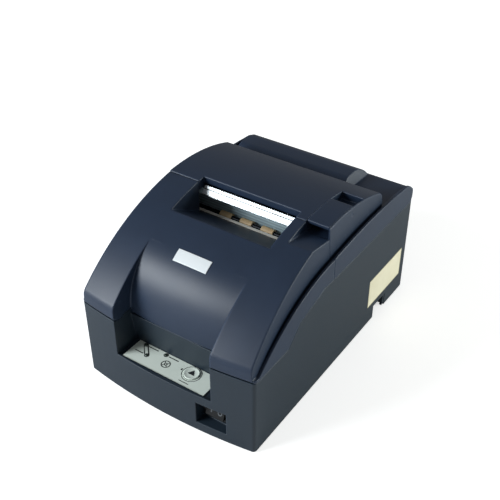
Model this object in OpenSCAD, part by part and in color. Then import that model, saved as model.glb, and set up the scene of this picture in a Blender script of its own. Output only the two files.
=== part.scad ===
// Dot matrix receipt printer: a lower case, a front cover over the print
// mechanism and a rear cover over the paper roll.
// X runs across the printer, Y from the front (-) to the back (+), Z is up.
// The origin is on the table, under the middle of the printer.

/* [Body] */
// Width over the side walls
body_w = 160; // [156:1:166]
// Depth from the bowed front to the back
body_d = 248; // [246:1:256]
// Height of the dome's crest above the table
body_h = 138.5; // [137.5:0.5:142]
// How far the front bulges ahead of its two corners
front_bow = 6.5; // [5.5:0.5:7]
// Radius of the upright corners
corner_r = 3; // [2:0.5:4]
// Wall of the lower case
wall = 2.4; // [2:0.1:2.8]
// Wall of the two covers
cover_wall = 2.2; // [1.8:0.1:2.4]
// Height of the rubber feet below the case
foot_h = 1.5; // [1:0.1:2]

/* [Seams] */
// Depth of the seam between case and cover at the front, below the crest
seam_drop = 68; // [67:0.5:69]
// Depth of the same seam at the back, below the crest
rear_seam_drop = 46; // [45.5:0.5:46.5]
// Width of the gap at every seam
seam_gap = 0.4; // [0.3:0.05:0.6]
// Distance from the front to the seam between the two covers
cover_split = 112; // [111:0.5:113]
// Depth of the step inside the rim of the case
rim_step = 1.2; // [1:0.1:1.4]

/* [Dome] */
// Radius of the dome's side profile
dome_r = 176; // [172:1:180]
// Distance from the front to the dome's crest
crest_back = 129; // [127:1:131]
// Distance from the dome's rear end to the back of the printer
dome_rear = 52; // [50:1:54]
// Fillet between the upright front and the dome
front_fillet = 9; // [7:1:10]
// Rounding of the dome's rear end
rear_round = 6; // [4:0.5:7]
// How far each side of the dome stands inside the case's side, at the front hinge
dome_in = 2.7; // [2.5:0.1:3]
// How much each side of the dome leans in, per millimetre of height
dome_lean = 0.06; // [0.05:0.005:0.07]
// How far the skirts' top edge lies below the dome, measured at the cover seam
skirt_drop = 25; // [24:0.5:27]
// Width of the skirts' top edge
skirt_w = 2; // [1.8:0.1:2.2]
// Depth of the groove between dome and skirt
groove_d = 5; // [4:0.5:10]
// Depth of the stiffening ribs inside the covers
rib_depth = 3; // [2:0.5:4]
// Thickness of these ribs
rib_t = 1.6; // [1.2:0.1:2]

/* [Scoop and control bay] */
// Width of the scoop and the control bay under it
scoop_w = 89; // [86:1:90]
// Radius of the scoop's side profile
scoop_r = 54.3; // [53:0.5:56]
// Lean of the line where the scoop leaves the dome
scoop_angle = 26.9; // [26:0.1:28]
// Depth of the scoop's lower edge below the crest
scoop_drop = 72.1; // [71.1:0.2:72.5]
// Height of the control bay's floor
bay_z = 36; // [35:0.5:37]
// Distance from the front to the back of the bay's floor
bay_back = 25.5; // [25:0.5:27]
// Thickness of the control panel
panel_t = 1; // [0.8:0.1:1.2]
// Radius of the feed button
button_r = 6.2; // [5.5:0.1:6.8]
// How far the feed button stands above the panel
button_h = 1.2; // [1:0.1:1.5]
// Travel of the feed button
button_travel = 0.8; // [0.6:0.1:0.9]

/* [Paper exit] */
// Width of the paper exit
exit_w = 90; // [88:1:91]
// Distance from the front to the exit's front edge
exit_front = 76.5; // [76:0.5:78]
// Distance from the front to the exit's rear edge
exit_rear = 119.3; // [119:0.1:120]
// Pitch of the teeth on the tear bar
tooth_pitch = 2; // [1.8:0.1:3]

/* [Hinges] */
// Front hinge: distance of its axis behind the front
front_hinge_in = 9; // [8.8:0.1:9.4]
// Front hinge: height of its axis above the seam
front_hinge_up = 8.5; // [8.5:0.1:9]
// Rear hinge: distance of its axis ahead of the back
rear_hinge_in = 5.2; // [5.2:0.1:5.4]
// Rear hinge: height of its axis above the seam
rear_hinge_up = 6; // [6:0.1:6.2]
// Radius of the hinge pins
pin_r = 1.25; // [1:0.05:1.4]
// Radial clearance of a turning fit
run_gap = 0.06; // [0.04:0.01:0.08]
// Radial clearance of a seated fit
seat_gap = 0.02; // [0.01:0.01:0.03]

/* [Mechanism] */
// Distance of the side frames inside the case's sides
frame_in = 14; // [13:0.5:15]
// Thickness of the steel side frames
frame_t = 1.6; // [1.2:0.1:2]
// Radius of the carriage shaft
shaft_r = 4; // [3.5:0.1:4.5]
// Module of the gears
gear_m = 0.8; // [0.8:0.01:0.81]
// Width of the gears
gear_w = 3; // [2.5:0.1:3.2]
// Radius of the rubber feed roller
feed_r = 7; // [6.5:0.1:7]
// Radius of the exit rollers
exit_r = 3.4; // [3.2:0.1:3.6]
// Radius of the belt pulleys
pulley_r = 6; // [5.5:0.1:6.4]
// Radius of the paper roll's tray
tray_r = 34; // [32:0.5:34]
// Inner width of the paper roll's tray
tray_w = 82; // [80:1:84]

/* [Hidden] */
$fn = 48;

front_y = -body_d / 2;
rear_y = body_d / 2;
half_w = body_w / 2;
floor_z = foot_h + wall;
seam_z = body_h - seam_drop;
rear_seam_z = body_h - rear_seam_drop;
scoop_foot_z = body_h - scoop_drop;
dome_half_w = half_w - dome_in;
frame_x = half_w - frame_in;

// the bowed front is part of a cylinder round an upright axis behind it
bow_r = (half_w * half_w + front_bow * front_bow) / (2 * front_bow);
bow_y = front_y + bow_r;
bow_fn = 360;

dome_c = [front_y + crest_back, body_h - dome_r];
split_y = front_y + cover_split;
dome_end = rear_y - dome_rear;
front_hinge = [front_y + front_hinge_in, seam_z + front_hinge_up];
rear_hinge = [rear_y - rear_hinge_in, rear_seam_z + rear_hinge_up];
lip_round = 2;
lip_z = seam_z + seam_gap;

// points of an arc round c, from angle a0 to a1 in n steps
function arc_pts(c, r, a0, a1, n) =
  [for (i = [0:n]) let (a = a0 + (a1 - a0) * i / n) [c[0] + r * cos(a), c[1] + r * sin(a)]];
// angle at which the circle round c reaches the given y, on its upper side
function top_angle(c, r, y) = acos((y - c[0]) / r);
// height of the dome at y
function dome_z(y) = dome_c[1] + sqrt(dome_r * dome_r - pow(y - dome_c[0], 2));

// upper edge of the lower case, from the front to the back
rise_y = front_y + 49;
case_edge = [
  [front_y - 5, seam_z],
  [rise_y, seam_z],
  [rise_y + 15, seam_z + 14],
  [rise_y + 39, rear_seam_z - 1.5],
  [rise_y + 50, rear_seam_z + 1.5],
  [rise_y + 59, rear_seam_z + 1],
  [rear_y + 5, rear_seam_z]
];

// ---------------------------------------------------------------- helpers

// extrudes a (y, z) outline from x0 to x1
module across(x0, x1) {
  translate([x0, 0, 0])
    rotate([90, 0, 90])
      linear_extrude(x1 - x0)
        children();
}

// a rod or disc along X, round the (y, z) point c
module rod(c, r, x0, x1) {
  translate([x0, c[0], c[1]])
    rotate([0, 90, 0])
      cylinder(r = r, h = x1 - x0);
}

module box(lo, hi) {
  translate(lo)
    cube(hi - lo);
}

module both_sides() {
  children();
  mirror([1, 0, 0])
    children();
}

// sweeps a list of (y, z) points round the axis of the bowed front
module bowed(pts) {
  translate([0, bow_y, 0])
    rotate_extrude(angle = 27, start = 256.5, $fn = bow_fn)
      polygon([for (p = pts) [bow_y - p[0], p[1]]]);
}

// plan of the case, drawn in by inset
module plan(inset) {
  offset(r = corner_r)
    offset(delta = -corner_r - inset)
      intersection() {
        translate([-half_w, front_y])
          square([body_w, body_d]);
        translate([0, bow_y])
          circle(r = bow_r, $fn = bow_fn);
      }
}

// ------------------------------------------------------------- lower case

bay_half = scoop_w / 2;
bay_back_y = front_y + bay_back;
bay_top_y = front_y + 20.6;
bay_lip_z = bay_z + 1.6;
switch_c = [half_w - 36.2, 19.7];
switch_w = 26;
switch_h = 20.4;
switch_d = 9;
io_w = half_w - 18;
io_front = rear_y - 60;
io_top = 32;
notch = [rear_y - 57.5, rear_y - 36];
notch_h = 14;
post_x = [bay_half + wall + 2.1, bay_half + wall + 5.1];
ear_x = [post_x[1] + 0.4, post_x[1] + 3.4];
ear_r = 3.1;
foot_r = 6;
foot_at = [[half_w - 12, front_y + 20], [half_w - 9, rear_y - 12]];
screw_at = [[half_w - 20, front_y + 34], [half_w - 12, rear_y - 78]];
saddle_y = [rear_y - 72, rear_y - 28];
tray_c = [rear_y - 50, io_top + wall + 0.8 + tray_r + 2];
board_z = floor_z + 6;
board_half = frame_x - 6;
post_at = [for (x = [4 - board_half, board_half - 4], y = [front_y + 40, rear_y - 86]) [x, y]];

module case_outer() {
  intersection() {
    translate([0, 0, foot_h])
      linear_extrude(body_h)
        plan(0);
    across(-half_w, half_w)
      polygon(concat([[rear_y + 5, 0], [front_y - 5, 0]], case_edge));
  }
}

module case_cavity() {
  translate([0, 0, floor_z])
    linear_extrude(body_h)
      plan(wall);
  intersection() {
    translate([0, 0, floor_z])
      linear_extrude(body_h)
        plan(wall - rim_step);
    across(-half_w, half_w)
      translate([0, -rim_step])
        polygon(concat([[rear_y + 5, body_h], [front_y - 5, body_h]], case_edge));
  }
}

// post inside the case that carries a hinge pin: eye, neck and column, the column reach away
module hinge_post(pivot, reach, neck_turn, eye_r) {
  y0 = pivot[0] + reach;
  across(post_x[0], post_x[1]) {
    translate([min(y0, y0 + sign(reach) * 6), foot_h])
      square([6, pivot[1] - 1.6 - foot_h]);
    translate(pivot)
      rotate(neck_turn)
        translate([0, -1.9])
          square([abs(reach) + 3, 3.8]);
    translate(pivot)
      circle(r = eye_r);
  }
}

module lower_case() {
  color("#2e343d")
    difference() {
      union() {
        difference() {
          case_outer();
          case_cavity();
        }
        intersection() {
          case_outer();
          union() {
            // control bay
            across(-bay_half - wall, bay_half + wall)
              polygon([
                [front_y - 1, bay_z - wall],
                [bay_back_y + wall, bay_z - wall],
                [bay_top_y + wall, scoop_foot_z - seam_gap],
                [front_y - 1, scoop_foot_z - seam_gap]
              ]);
            // side walls of the bay, up to the seam
            both_sides()
              across(bay_half, bay_half + wall)
                polygon([
                  [front_y - 1, bay_z],
                  [bay_back_y, bay_z],
                  [bay_top_y + wall, scoop_foot_z],
                  [bay_top_y + wall, seam_z],
                  [front_y - 1, seam_z]
                ]);
            // housing of the power switch
            box([switch_c[0] - switch_w / 2 - wall, front_y, foot_h],
              [switch_c[0] + switch_w / 2 + wall, front_y + 2 + switch_d + wall,
               switch_c[1] + switch_h / 2 + wall]);
            // connector bay
            box([-io_w - wall, io_front - wall, foot_h], [io_w + wall, rear_y, io_top + wall]);
            // channel of the cable notch
            box([io_w, notch[0] - wall, foot_h], [half_w, notch[1] + wall, notch_h + wall]);
            // saddles of the paper tray
            for (y = saddle_y)
              box([-tray_w / 2, y - 1.5, io_top - 12], [tray_w / 2, y + 1.5, tray_c[1] - 22]);
            box([-tray_w / 2, saddle_y[0] - 1.5, foot_h],
              [tray_w / 2, saddle_y[0] + 1.5, tray_c[1] - 22]);
            // seats of the side frames
            both_sides()
              for (y = [front_y + 46, front_y + 130])
                box([frame_x - 5, y, foot_h], [frame_x + 5, y + 14, floor_z + 5]);
            // posts of the panel's board
            for (x = [-22, 24.5])
              translate([x, bay_back_y - 4, bay_z - wall - 2.4])
                cylinder(r = 2.5, h = 3);
            // posts of the main board
            for (p = post_at)
              translate([p[0], p[1], foot_h])
                cylinder(r = 3.5, h = board_z - foot_h);
          }
        }
        both_sides() {
          hinge_post(front_hinge, 12, -12, ear_r);
          hinge_post(rear_hinge, -12, 190, rear_hinge_in - cover_wall - 0.35);
        }
      }
      // control bay, open to the front and up
      across(-bay_half, bay_half)
        polygon([
          [front_y - 5, bay_lip_z],
          [front_y + 3.4, bay_lip_z],
          [front_y + 3.4, bay_z],
          [bay_back_y, bay_z],
          [bay_top_y, scoop_foot_z],
          [bay_top_y, body_h],
          [front_y - 5, body_h]
        ]);
      // the cover's cheeks turn down beside the bay
      both_sides()
        rod(front_hinge, cheek_r + 0.3, bay_half - 1, bay_half + wall + 0.1);
      // wells under the button and the lamps
      translate([button_at[0], button_at[1], bay_z - wall - 1])
        cylinder(r = 4, h = wall + 2);
      for (p = lamp_at)
        translate([p[0], p[1], bay_z - wall - 1])
          cylinder(r = lamp_r + 0.5, h = wall + 2);
      // recess of the power switch and the hole for its body
      box([switch_c[0] - switch_w / 2, front_y - 5, switch_c[1] - switch_h / 2],
        [switch_c[0] + switch_w / 2, front_y + 2 + switch_d, switch_c[1] + switch_h / 2]);
      box([switch_c[0] - 10, front_y, switch_c[1] - 4.5],
        [switch_c[0] + 10, front_y + switch_d + 2 + wall + 0.5, switch_c[1] + 8.5]);
      // connector bay, open below and at the back
      box([-io_w, io_front, -1], [io_w, rear_y + 5, io_top]);
      // window behind the connector plate
      box([12 - io_w, io_front - 10, floor_z + 2], [io_w - 12, io_front + 1, io_top - 3]);
      for (x = [7 - io_w, io_w - 7])
        translate([x, io_front - 5, plug_z])
          rotate([-90, 0, 0])
            cylinder(r = 1.5 + seat_gap, h = 6);
      // cable notch in the right wall
      box([io_w - 1, notch[0], -1], [half_w + 1, notch[1], notch_h]);
      // pins of both hinges
      both_sides() {
        rod(front_hinge, pin_r + seat_gap, post_x[0] - 1, post_x[1] + 1);
        rod(rear_hinge, pin_r + seat_gap, post_x[0] - 1, post_x[1] + 1);
      }
      // tray between its saddles
      rod(tray_c, tray_r + 2 + seat_gap, -tray_w / 2 - 1, tray_w / 2 + 1);
      // pockets of the feet and holes of the screws
      both_sides() {
        for (p = foot_at)
          translate([p[0], p[1], foot_h - 0.1])
            cylinder(r = foot_r + 0.05, h = 0.9);
        for (p = screw_at) {
          translate([p[0], p[1], foot_h - 1])
            cylinder(r = 1.6, h = 14);
          translate([p[0], p[1], foot_h - 1])
            cylinder(r = 3.2, h = 2);
        }
      }
      // cooling slots through the floor
      for (x = [-40:8:40])
        box([x - 1.5, -60, foot_h - 1], [x + 1.5, -20, floor_z + 1]);
    }
}

module rubber_feet() {
  color("#141414")
    both_sides()
      for (p = foot_at)
        translate([p[0], p[1], 0])
          cylinder(r = foot_r, h = foot_h + 0.8);
}

module case_screws() {
  color("#b9bcc0")
    both_sides()
      for (p = screw_at)
        translate([p[0], p[1], foot_h]) {
          cylinder(r = 3, h = 1);
          cylinder(r = 1.5, h = 9);
        }
}

module hinge_pins() {
  color("#c3c6ca")
    both_sides() {
      rod(front_hinge, pin_r, post_x[0] - 0.5, ear_x[1] + 0.8);
      rod(rear_hinge, pin_r, post_x[0] - 0.5, ear_x[1] + 0.8);
    }
}

// ---------------------------------------------------------- control panel

panel_x = [3.4 - bay_half, bay_half - 8.5];
panel_y = [front_y + 3.8, bay_back_y - 0.5];
panel_top = bay_z + panel_t;
button_at = [15.5, front_y + 17.3];
lamp_at = [[-33.4, front_y + 23.2], [-25.7, front_y + 14.2], [-13.3, front_y + 22.7]];
lamp_r = 1.3;

module control_panel() {
  color("#c9cdca")
    difference() {
      box([panel_x[0], panel_y[0], bay_z], [panel_x[1], panel_y[1], panel_top]);
      translate([button_at[0], button_at[1], bay_z - 1])
        cylinder(r = button_r + 0.3, h = panel_t + 2);
      for (p = lamp_at)
        translate([p[0], p[1], bay_z - 1])
          cylinder(r = lamp_r + 0.05, h = panel_t + 2);
    }
}

// the panel's board ends beside the housing of the power switch
board_gap = 16.3;

module panel_board() {
  color("#2f6b3c")
    box([4.5 - bay_half, front_y + 8, bay_z - wall - 4],
      [switch_c[0] - board_gap, bay_back_y + 1, bay_z - wall - 2.4]);
}

module indicator_lamps() {
  color("#3f5d4a")
    for (p = lamp_at)
      translate([p[0], p[1], bay_z - wall - 2.4])
        cylinder(r = lamp_r, h = wall + 2.4 + panel_t + 0.2);
}

module feed_button() {
  color("#d5d8d5")
    translate([button_at[0], button_at[1], 0]) {
      translate([0, 0, bay_z + button_travel + 0.3])
        cylinder(r = button_r, h = panel_t - button_travel - 0.3 + button_h);
      translate([0, 0, bay_z - wall - 2.1 + button_travel])
        cylinder(r = 3, h = wall + 2.6);
    }
}

// ----------------------------------------------------------- power switch

switch_face = front_y + 2 + switch_d;
rocker_c = [switch_face - 0.6, switch_c[1] + 2];

module power_switch_body() {
  color("#15171a")
    difference() {
      union() {
        box([switch_c[0] - 12, switch_face - 1.6, switch_c[1] - 6.5],
          [switch_c[0] + 12, switch_face - 0.1, switch_c[1] + 10]);
        box([switch_c[0] - 9.8, switch_face - 0.2, switch_c[1] - 4.3],
          [switch_c[0] + 9.8, switch_face + 8.6, switch_c[1] + 8.3]);
      }
      box([switch_c[0] - 8.5, switch_face - 5, switch_c[1] - 3.2],
        [switch_c[0] + 8.5, switch_face + 6, switch_c[1] + 7.2]);
      rod(rocker_c, 1 + run_gap, switch_c[0] - 9.3, switch_c[0] + 9.3);
    }
}

module switch_terminals() {
  color("#c9c2a0")
    for (x = [-7.5, 2])
      box([switch_c[0] + x - 2.4, switch_face + 8.6, switch_c[1] + 1.6],
        [switch_c[0] + x + 2.4, switch_face + 14, switch_c[1] + 2.4]);
}

module power_rocker() {
  color("#1b1d20") {
    across(switch_c[0] - 8, switch_c[0] + 8)
      polygon([
        [rocker_c[0] - 4.2, rocker_c[1] - 4.6],
        [rocker_c[0] - 2.2, rocker_c[1]],
        [rocker_c[0] - 2.6, rocker_c[1] + 4.6],
        [rocker_c[0] + 1.5, rocker_c[1] + 3.4],
        [rocker_c[0] + 4, rocker_c[1]],
        [rocker_c[0] + 1.5, rocker_c[1] - 3.4]
      ]);
    rod(rocker_c, 1, switch_c[0] - 9, switch_c[0] + 9);
  }
}

// ------------------------------------------------------------ front cover

// side profile of the dome's front, grown or shrunk by t; the lip is the lower edge
fillet_c = [
  front_y + front_fillet,
  dome_c[1] + sqrt(pow(dome_r - front_fillet, 2) - pow(front_y + front_fillet - dome_c[0], 2))
];
fillet_turn = atan2(fillet_c[1] - dome_c[1], fillet_c[0] - dome_c[0]);
scoop_c = dome_c + (dome_r - scoop_r) * [-sin(scoop_angle), cos(scoop_angle)];
scoop_turn = 90 + scoop_angle;
scoop_end_y = dome_c[0] - dome_r * sin(scoop_angle) + 0.6;
cheek_r = 9.9;
exit_half = exit_w / 2;
exit_front_y = front_y + exit_front;
exit_rear_y = front_y + exit_rear;
funnel_end = [front_y + 117, body_h - 32.2];
pocket_x = half_w - 26;
pocket_front = front_y + 86.5;
pocket_d = 10;

function dome_front(t, y_end) = concat(
  [[y_end, lip_z - 20], [front_y + t, lip_z - 20]],
  arc_pts(fillet_c, front_fillet - t, 180, fillet_turn, 6),
  arc_pts(dome_c, dome_r - t, fillet_turn, top_angle(dome_c, dome_r - t, y_end), 26)
);

function scoop_front(t, y_end) = concat(
  [[y_end, lip_z - 20]],
  arc_pts(scoop_c, scoop_r - t, 184, scoop_turn, 18),
  arc_pts(dome_c, dome_r - t, scoop_turn, top_angle(dome_c, dome_r - t, y_end), 20)
);

// everything between the leaning sides of the dome, drawn in by inset
module dome_sides(inset) {
  top = body_h + 20;
  low = 40;
  w_low = dome_half_w - dome_lean * (low - front_hinge[1]) - inset;
  w_top = dome_half_w - dome_lean * (top - front_hinge[1]) - inset;
  translate([0, rear_y + 10, 0])
    rotate([90, 0, 0])
      linear_extrude(body_d + 20)
        polygon([[-w_low, low], [w_low, low], [w_top, top], [-w_top, top]]);
}

// top edge of the skirts, an arc ahead of the cover seam and a flatter one behind it
skirt_top_z = dome_z(split_y) - skirt_drop;
skirt_front_r = 160;
skirt_rear_r = 555;
skirt_end_r = 18;
skirt_front_c = [split_y + 5, skirt_top_z - skirt_front_r];
skirt_rear_c = [(split_y + rear_y - 10) / 2, skirt_top_z - skirt_rear_r + 3.7];
function skirt_front_z(y) = skirt_front_c[1] + sqrt(pow(skirt_front_r, 2) - pow(y - skirt_front_c[0], 2));
function skirt_rear_z(y) = skirt_rear_c[1] + sqrt(pow(skirt_rear_r, 2) - pow(y - skirt_rear_c[0], 2));
// height of the seam with the case at y
function edge_z(y) = lookup(y, case_edge);

// outline of the front skirt between its seam and its top edge, lowered by drop
module front_skirt(drop) {
  n = 20;
  y0 = front_y + 6;
  y1 = split_y - seam_gap / 2;
  polygon(concat(
    [[y1, edge_z(y1) + seam_gap]],
    [for (i = [len(case_edge) - 1:-1:1]) if (case_edge[i][0] < y1) case_edge[i] + [0, seam_gap]],
    [[y0, lip_z]],
    [for (i = [0:n]) let (y = y0 + (y1 - y0) * i / n)
      [y, max(edge_z(y) + seam_gap + cover_wall, skirt_front_z(y) - drop)]]
  ));
}

module rear_skirt(drop) {
  n = 12;
  y0 = split_y + seam_gap / 2;
  y1 = rear_y;
  polygon(concat(
    [[y0, edge_z(y0) + seam_gap]],
    [for (i = [0:n - 1]) let (y = y0 + (y1 - skirt_end_r - y0) * i / n) [y, skirt_rear_z(y) - drop]],
    arc_pts([y1 - skirt_end_r, skirt_rear_z(y1 - skirt_end_r) - drop - skirt_end_r], skirt_end_r, 90, 33, 8),
    [[y1, rear_top_z - 3], [y1, rear_seam_z + seam_gap]],
    [for (i = [len(case_edge) - 2:-1:1]) if (case_edge[i][0] > y0) case_edge[i] + [0, seam_gap]]
  ));
}

// skirt plate and the floor of the groove between skirt and dome
module skirt_body(side) {
  intersection() {
    union() {
      across(half_w - skirt_w, half_w)
        if (side == "front") front_skirt(0); else rear_skirt(0);
      across(dome_half_w - 3.6, half_w - skirt_w + 0.01)
        difference() {
          if (side == "front") front_skirt(groove_d); else rear_skirt(groove_d);
          translate([0, -cover_wall])
            if (side == "front") front_skirt_cut(); else rear_skirt_cut();
        }
    }
    translate([0, 0, 40])
      linear_extrude(body_h)
        plan(0);
  }
}

module front_skirt_cut() {
  n = 20;
  y0 = front_y + 20;
  y1 = split_y;
  polygon(concat(
    [[y1 + 5, 0], [y0, 0]],
    [for (i = [0:n]) let (y = y0 + (y1 - y0) * i / n)
      [y, max(edge_z(y) + seam_gap + cover_wall, skirt_front_z(y) - groove_d)]],
    [[y1 + 5, skirt_front_z(y1) - groove_d]]
  ));
}

module rear_skirt_cut() {
  n = 12;
  y0 = split_y;
  y1 = rear_y - skirt_end_r;
  polygon(concat(
    [[y1 + 7, 0], [y0 - 5, 0], [y0 - 5, skirt_rear_z(y0) - groove_d]],
    [for (i = [0:n]) let (y = y0 + (y1 - y0) * i / n) [y, skirt_rear_z(y) - groove_d]],
    [[y1 + 7, skirt_rear_z(y1) - groove_d - 6]]
  ));
}

module front_cover_outer() {
  y1 = split_y - seam_gap / 2;
  difference() {
    intersection() {
      bowed(dome_front(0, y1));
      dome_sides(0);
      box([-half_w, front_y - 5, 0], [half_w, y1, body_h + 20]);
    }
    // everything ahead of the scoop
    difference() {
      across(-bay_half, bay_half)
        translate([front_y - 20, 0])
          square([scoop_end_y - front_y + 20, body_h + 20]);
      bowed(scoop_front(0, y1));
    }
  }
}

module front_cover_inner() {
  y1 = split_y + 5;
  intersection() {
    bowed(scoop_front(cover_wall, y1));
    dome_sides(cover_wall);
  }
  both_sides()
    intersection() {
      bowed(dome_front(cover_wall, y1));
      dome_sides(cover_wall);
      box([bay_half + cover_wall, front_y - 5, 0], [half_w, rear_y, body_h + 20]);
    }
}

// lower boundary of the front cover: the seam, dipping to the scoop's foot between the cheeks
module front_cover_floor() {
  difference() {
    across(-half_w - 1, half_w + 1)
      polygon(concat(
        [[split_y + 5, 0], [front_y - 5, 0]],
        [for (p = case_edge) if (p[0] < split_y) p + [0, seam_gap]],
        [[split_y + 5, edge_z(split_y) + seam_gap]]
      ));
    // the scoop reaches below the seam, between the side walls of the bay
    across(0.4 - bay_half, bay_half - 0.4)
      polygon([
        [front_y + 10, scoop_foot_z],
        [front_y + 40, scoop_foot_z],
        [front_y + 40, body_h],
        [front_y + 10, body_h]
      ]);
    both_sides()
      rod(front_hinge, cheek_r, bay_half, bay_half + cover_wall);
  }
}

// rounding of the lower front edge, so that the open cover clears the case
module lip_rounding() {
  z = lip_z;
  bowed([
    [front_y - 3, z - 3],
    [front_y + lip_round, z - 3],
    each arc_pts([front_y + lip_round, z + lip_round], lip_round, 270, 180, 6),
    [front_y - 3, z + lip_round]
  ]);
  // the corners ahead of the hinge stay clear of the side walls
  both_sides()
    difference() {
      box([half_w - wall - 0.4, front_y - 1, 0], [half_w + 1, front_hinge[0], front_hinge[1]]);
      rod(front_hinge, front_hinge_up - 0.4, half_w - 10, half_w + 5);
    }
}

// stiffening ribs under the dome: long ones beside the scoop, short ones ahead of the exit
module front_ribs() {
  difference() {
    intersection() {
      bowed(dome_front(cover_wall - 0.1, split_y - 20));
      union() {
        both_sides()
          box([rib_x[2] - rib_t / 2, front_y + 30, 0], [rib_x[2] + rib_t / 2, split_y - 24, body_h]);
        for (x = [-rib_x[1], rib_x[0], rib_x[1]])
          box([x - rib_t / 2, scoop_end_y + 3, 0], [x + rib_t / 2, exit_front_y - 4, body_h]);
      }
    }
    bowed(dome_front(cover_wall + rib_depth, split_y + 5));
  }
}

rib_x = [0, exit_half - 20, bay_half + 5.5];

module front_cover() {
  color("#2b313a")
    difference() {
      union() {
        front_ribs();
        difference() {
          union() {
            front_cover_outer();
            both_sides()
              skirt_body("front");
          }
          front_cover_inner();
          front_cover_floor();
          lip_rounding();
        }
        // cheeks of the paper exit
        intersection() {
          front_cover_outer();
          union() {
            both_sides()
              across(exit_half, exit_half + cover_wall)
                exit_cheek(split_y - seam_gap / 2);
            // front lip, falling back into the exit
            across(-exit_half - cover_wall, exit_half + cover_wall)
              funnel(0, cover_wall);
            // finger pocket: floor and left wall
            across(pocket_x - cover_wall, half_w)
              pocket_floor();
            across(pocket_x - cover_wall, pocket_x)
              pocket_wall();
          }
        }
        // funnel's end under the rear cover
        across(-exit_half - cover_wall, exit_half + cover_wall)
          intersection() {
            funnel(0, cover_wall);
            translate([split_y - 1, 0])
              square([funnel_end[0] - split_y + 1, body_h]);
          }
        // hinge ears
        both_sides()
          intersection() {
            bowed(dome_front(0.5, split_y));
            across(ear_x[0], ear_x[1]) {
              translate(front_hinge)
                circle(r = ear_r);
              translate([front_y - 2, front_hinge[1] - 2.2])
                square([front_hinge_in + 2, 8]);
            }
          }
      }
      // paper exit
      across(-exit_half, exit_half)
        polygon([
          [exit_front_y, body_h + 5],
          exit_lip,
          funnel_end,
          [funnel_end[0] + 20, funnel_end[1]],
          [funnel_end[0] + 20, body_h + 5]
        ]);
      // finger pocket
      across(pocket_x, half_w - skirt_w - 1.2)
        pocket_cut();
      both_sides()
        rod(front_hinge, pin_r + run_gap, ear_x[0] - 1, ear_x[1] + 1);
    }
}

exit_lip = [exit_front_y, dome_z(exit_front_y - 2)];

module funnel(over, t) {
  slope = (funnel_end - exit_lip) / norm(funnel_end - exit_lip);
  down = [slope[1], -slope[0]];
  polygon([exit_lip - slope * 3, funnel_end, funnel_end + down * t, exit_lip - slope * 3 + down * t]);
}

module exit_cheek(y_end) {
  slope = (funnel_end - exit_lip) / norm(funnel_end - exit_lip);
  down = [slope[1], -slope[0]] * cover_wall;
  end_z = exit_lip[1] + (y_end - exit_lip[0]) * slope[1] / slope[0];
  polygon([exit_lip + down, [y_end, end_z + down[1]], [y_end, body_h + 5], [exit_lip[0], body_h + 5]]);
}

pocket_floor_z = dome_z(split_y) - pocket_d;
pocket_lip = [pocket_front, dome_z(pocket_front - 4)];

module pocket_floor() {
  polygon([
    pocket_lip + [-4, 0],
    pocket_lip,
    [split_y + 5, pocket_floor_z],
    [split_y + 5, pocket_floor_z - cover_wall],
    pocket_lip + [-4, -cover_wall]
  ]);
}

module pocket_wall() {
  polygon([
    pocket_lip,
    [split_y + 5, body_h + 5],
    [split_y + 5, pocket_floor_z - cover_wall],
    pocket_lip + [0, -cover_wall]
  ]);
}

module pocket_cut() {
  polygon([
    pocket_lip,
    [pocket_lip[0], body_h + 9],
    [split_y + 5, body_h + 9],
    [split_y + 5, pocket_floor_z]
  ]);
}

badge_a = [front_y + 42, front_y + 50.5];
badge_x = [-17, 13];

module name_badge() {
  color("#f2f3f3")
    difference() {
      intersection() {
        bowed(scoop_front(-0.5, split_y));
        box([badge_x[0], badge_a[0], scoop_foot_z + 20], [badge_x[1], badge_a[1], body_h]);
      }
      bowed(scoop_front(0, split_y + 2));
    }
}

// ------------------------------------------------------------- rear cover

rear_top_z = rear_hinge[1] + 5.5;
deck_z = rear_top_z + 3;
deck_front_z = deck_z + 3;
hump_z = body_h - 20.5;
hump_x = half_w - 46;
hump_foot_x = half_w - 41.5;
hump_front = dome_end + 6;
lever_x = [half_w - 26, half_w - 7.2];
lever_y = [split_y + 1.5, front_y + 149];
slot_end_y = front_y + 167;
lever_pivot = [front_y + 146, dome_z(front_y + 146) - 6.2];
lever_t = 2.6;
end_round_c = [dome_end - rear_round, dome_z(dome_end) - rear_round + 1.2];

// side profile of the dome behind the seam and its steep rear end, shrunk by t
function dome_back(t, y_start) = concat(
  [[y_start, rear_seam_z - 20]],
  arc_pts(dome_c, dome_r - t, top_angle(dome_c, dome_r - t, y_start),
      top_angle(dome_c, dome_r - t, end_round_c[0] + 2), 14),
  arc_pts(end_round_c, rear_round - t, 66, 0, 6),
  [[dome_end - t, rear_seam_z - 20]]
);

// side profile of the deck behind the dome, shrunk by t
function deck_back(t) = [
  [dome_end - 12, rear_seam_z - 20],
  [dome_end - 12, deck_front_z - t],
  [rear_y - 6, deck_z - t],
  [rear_y - 2.5, deck_z - 0.8 - t],
  [rear_y - 0.7 - t / 2, deck_z - 2.6 - t / 2],
  [rear_y - t, deck_z - 4.5],
  [rear_y - t, rear_seam_z - 20]
];

// side profile of the roll's bulge, shrunk by t
function hump_back(t) = concat(
  [[hump_front + t, rear_seam_z - 20], [hump_front + t, deck_z]],
  arc_pts([hump_front + 14, hump_z - 13], 13 - t, 165, 96, 9),
  arc_pts([hump_front + 22, hump_z - 22], 22 - t, 84, 24, 10),
  [[rear_y - t, deck_z - 4], [rear_y - t, rear_seam_z - 20]]
);

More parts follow.
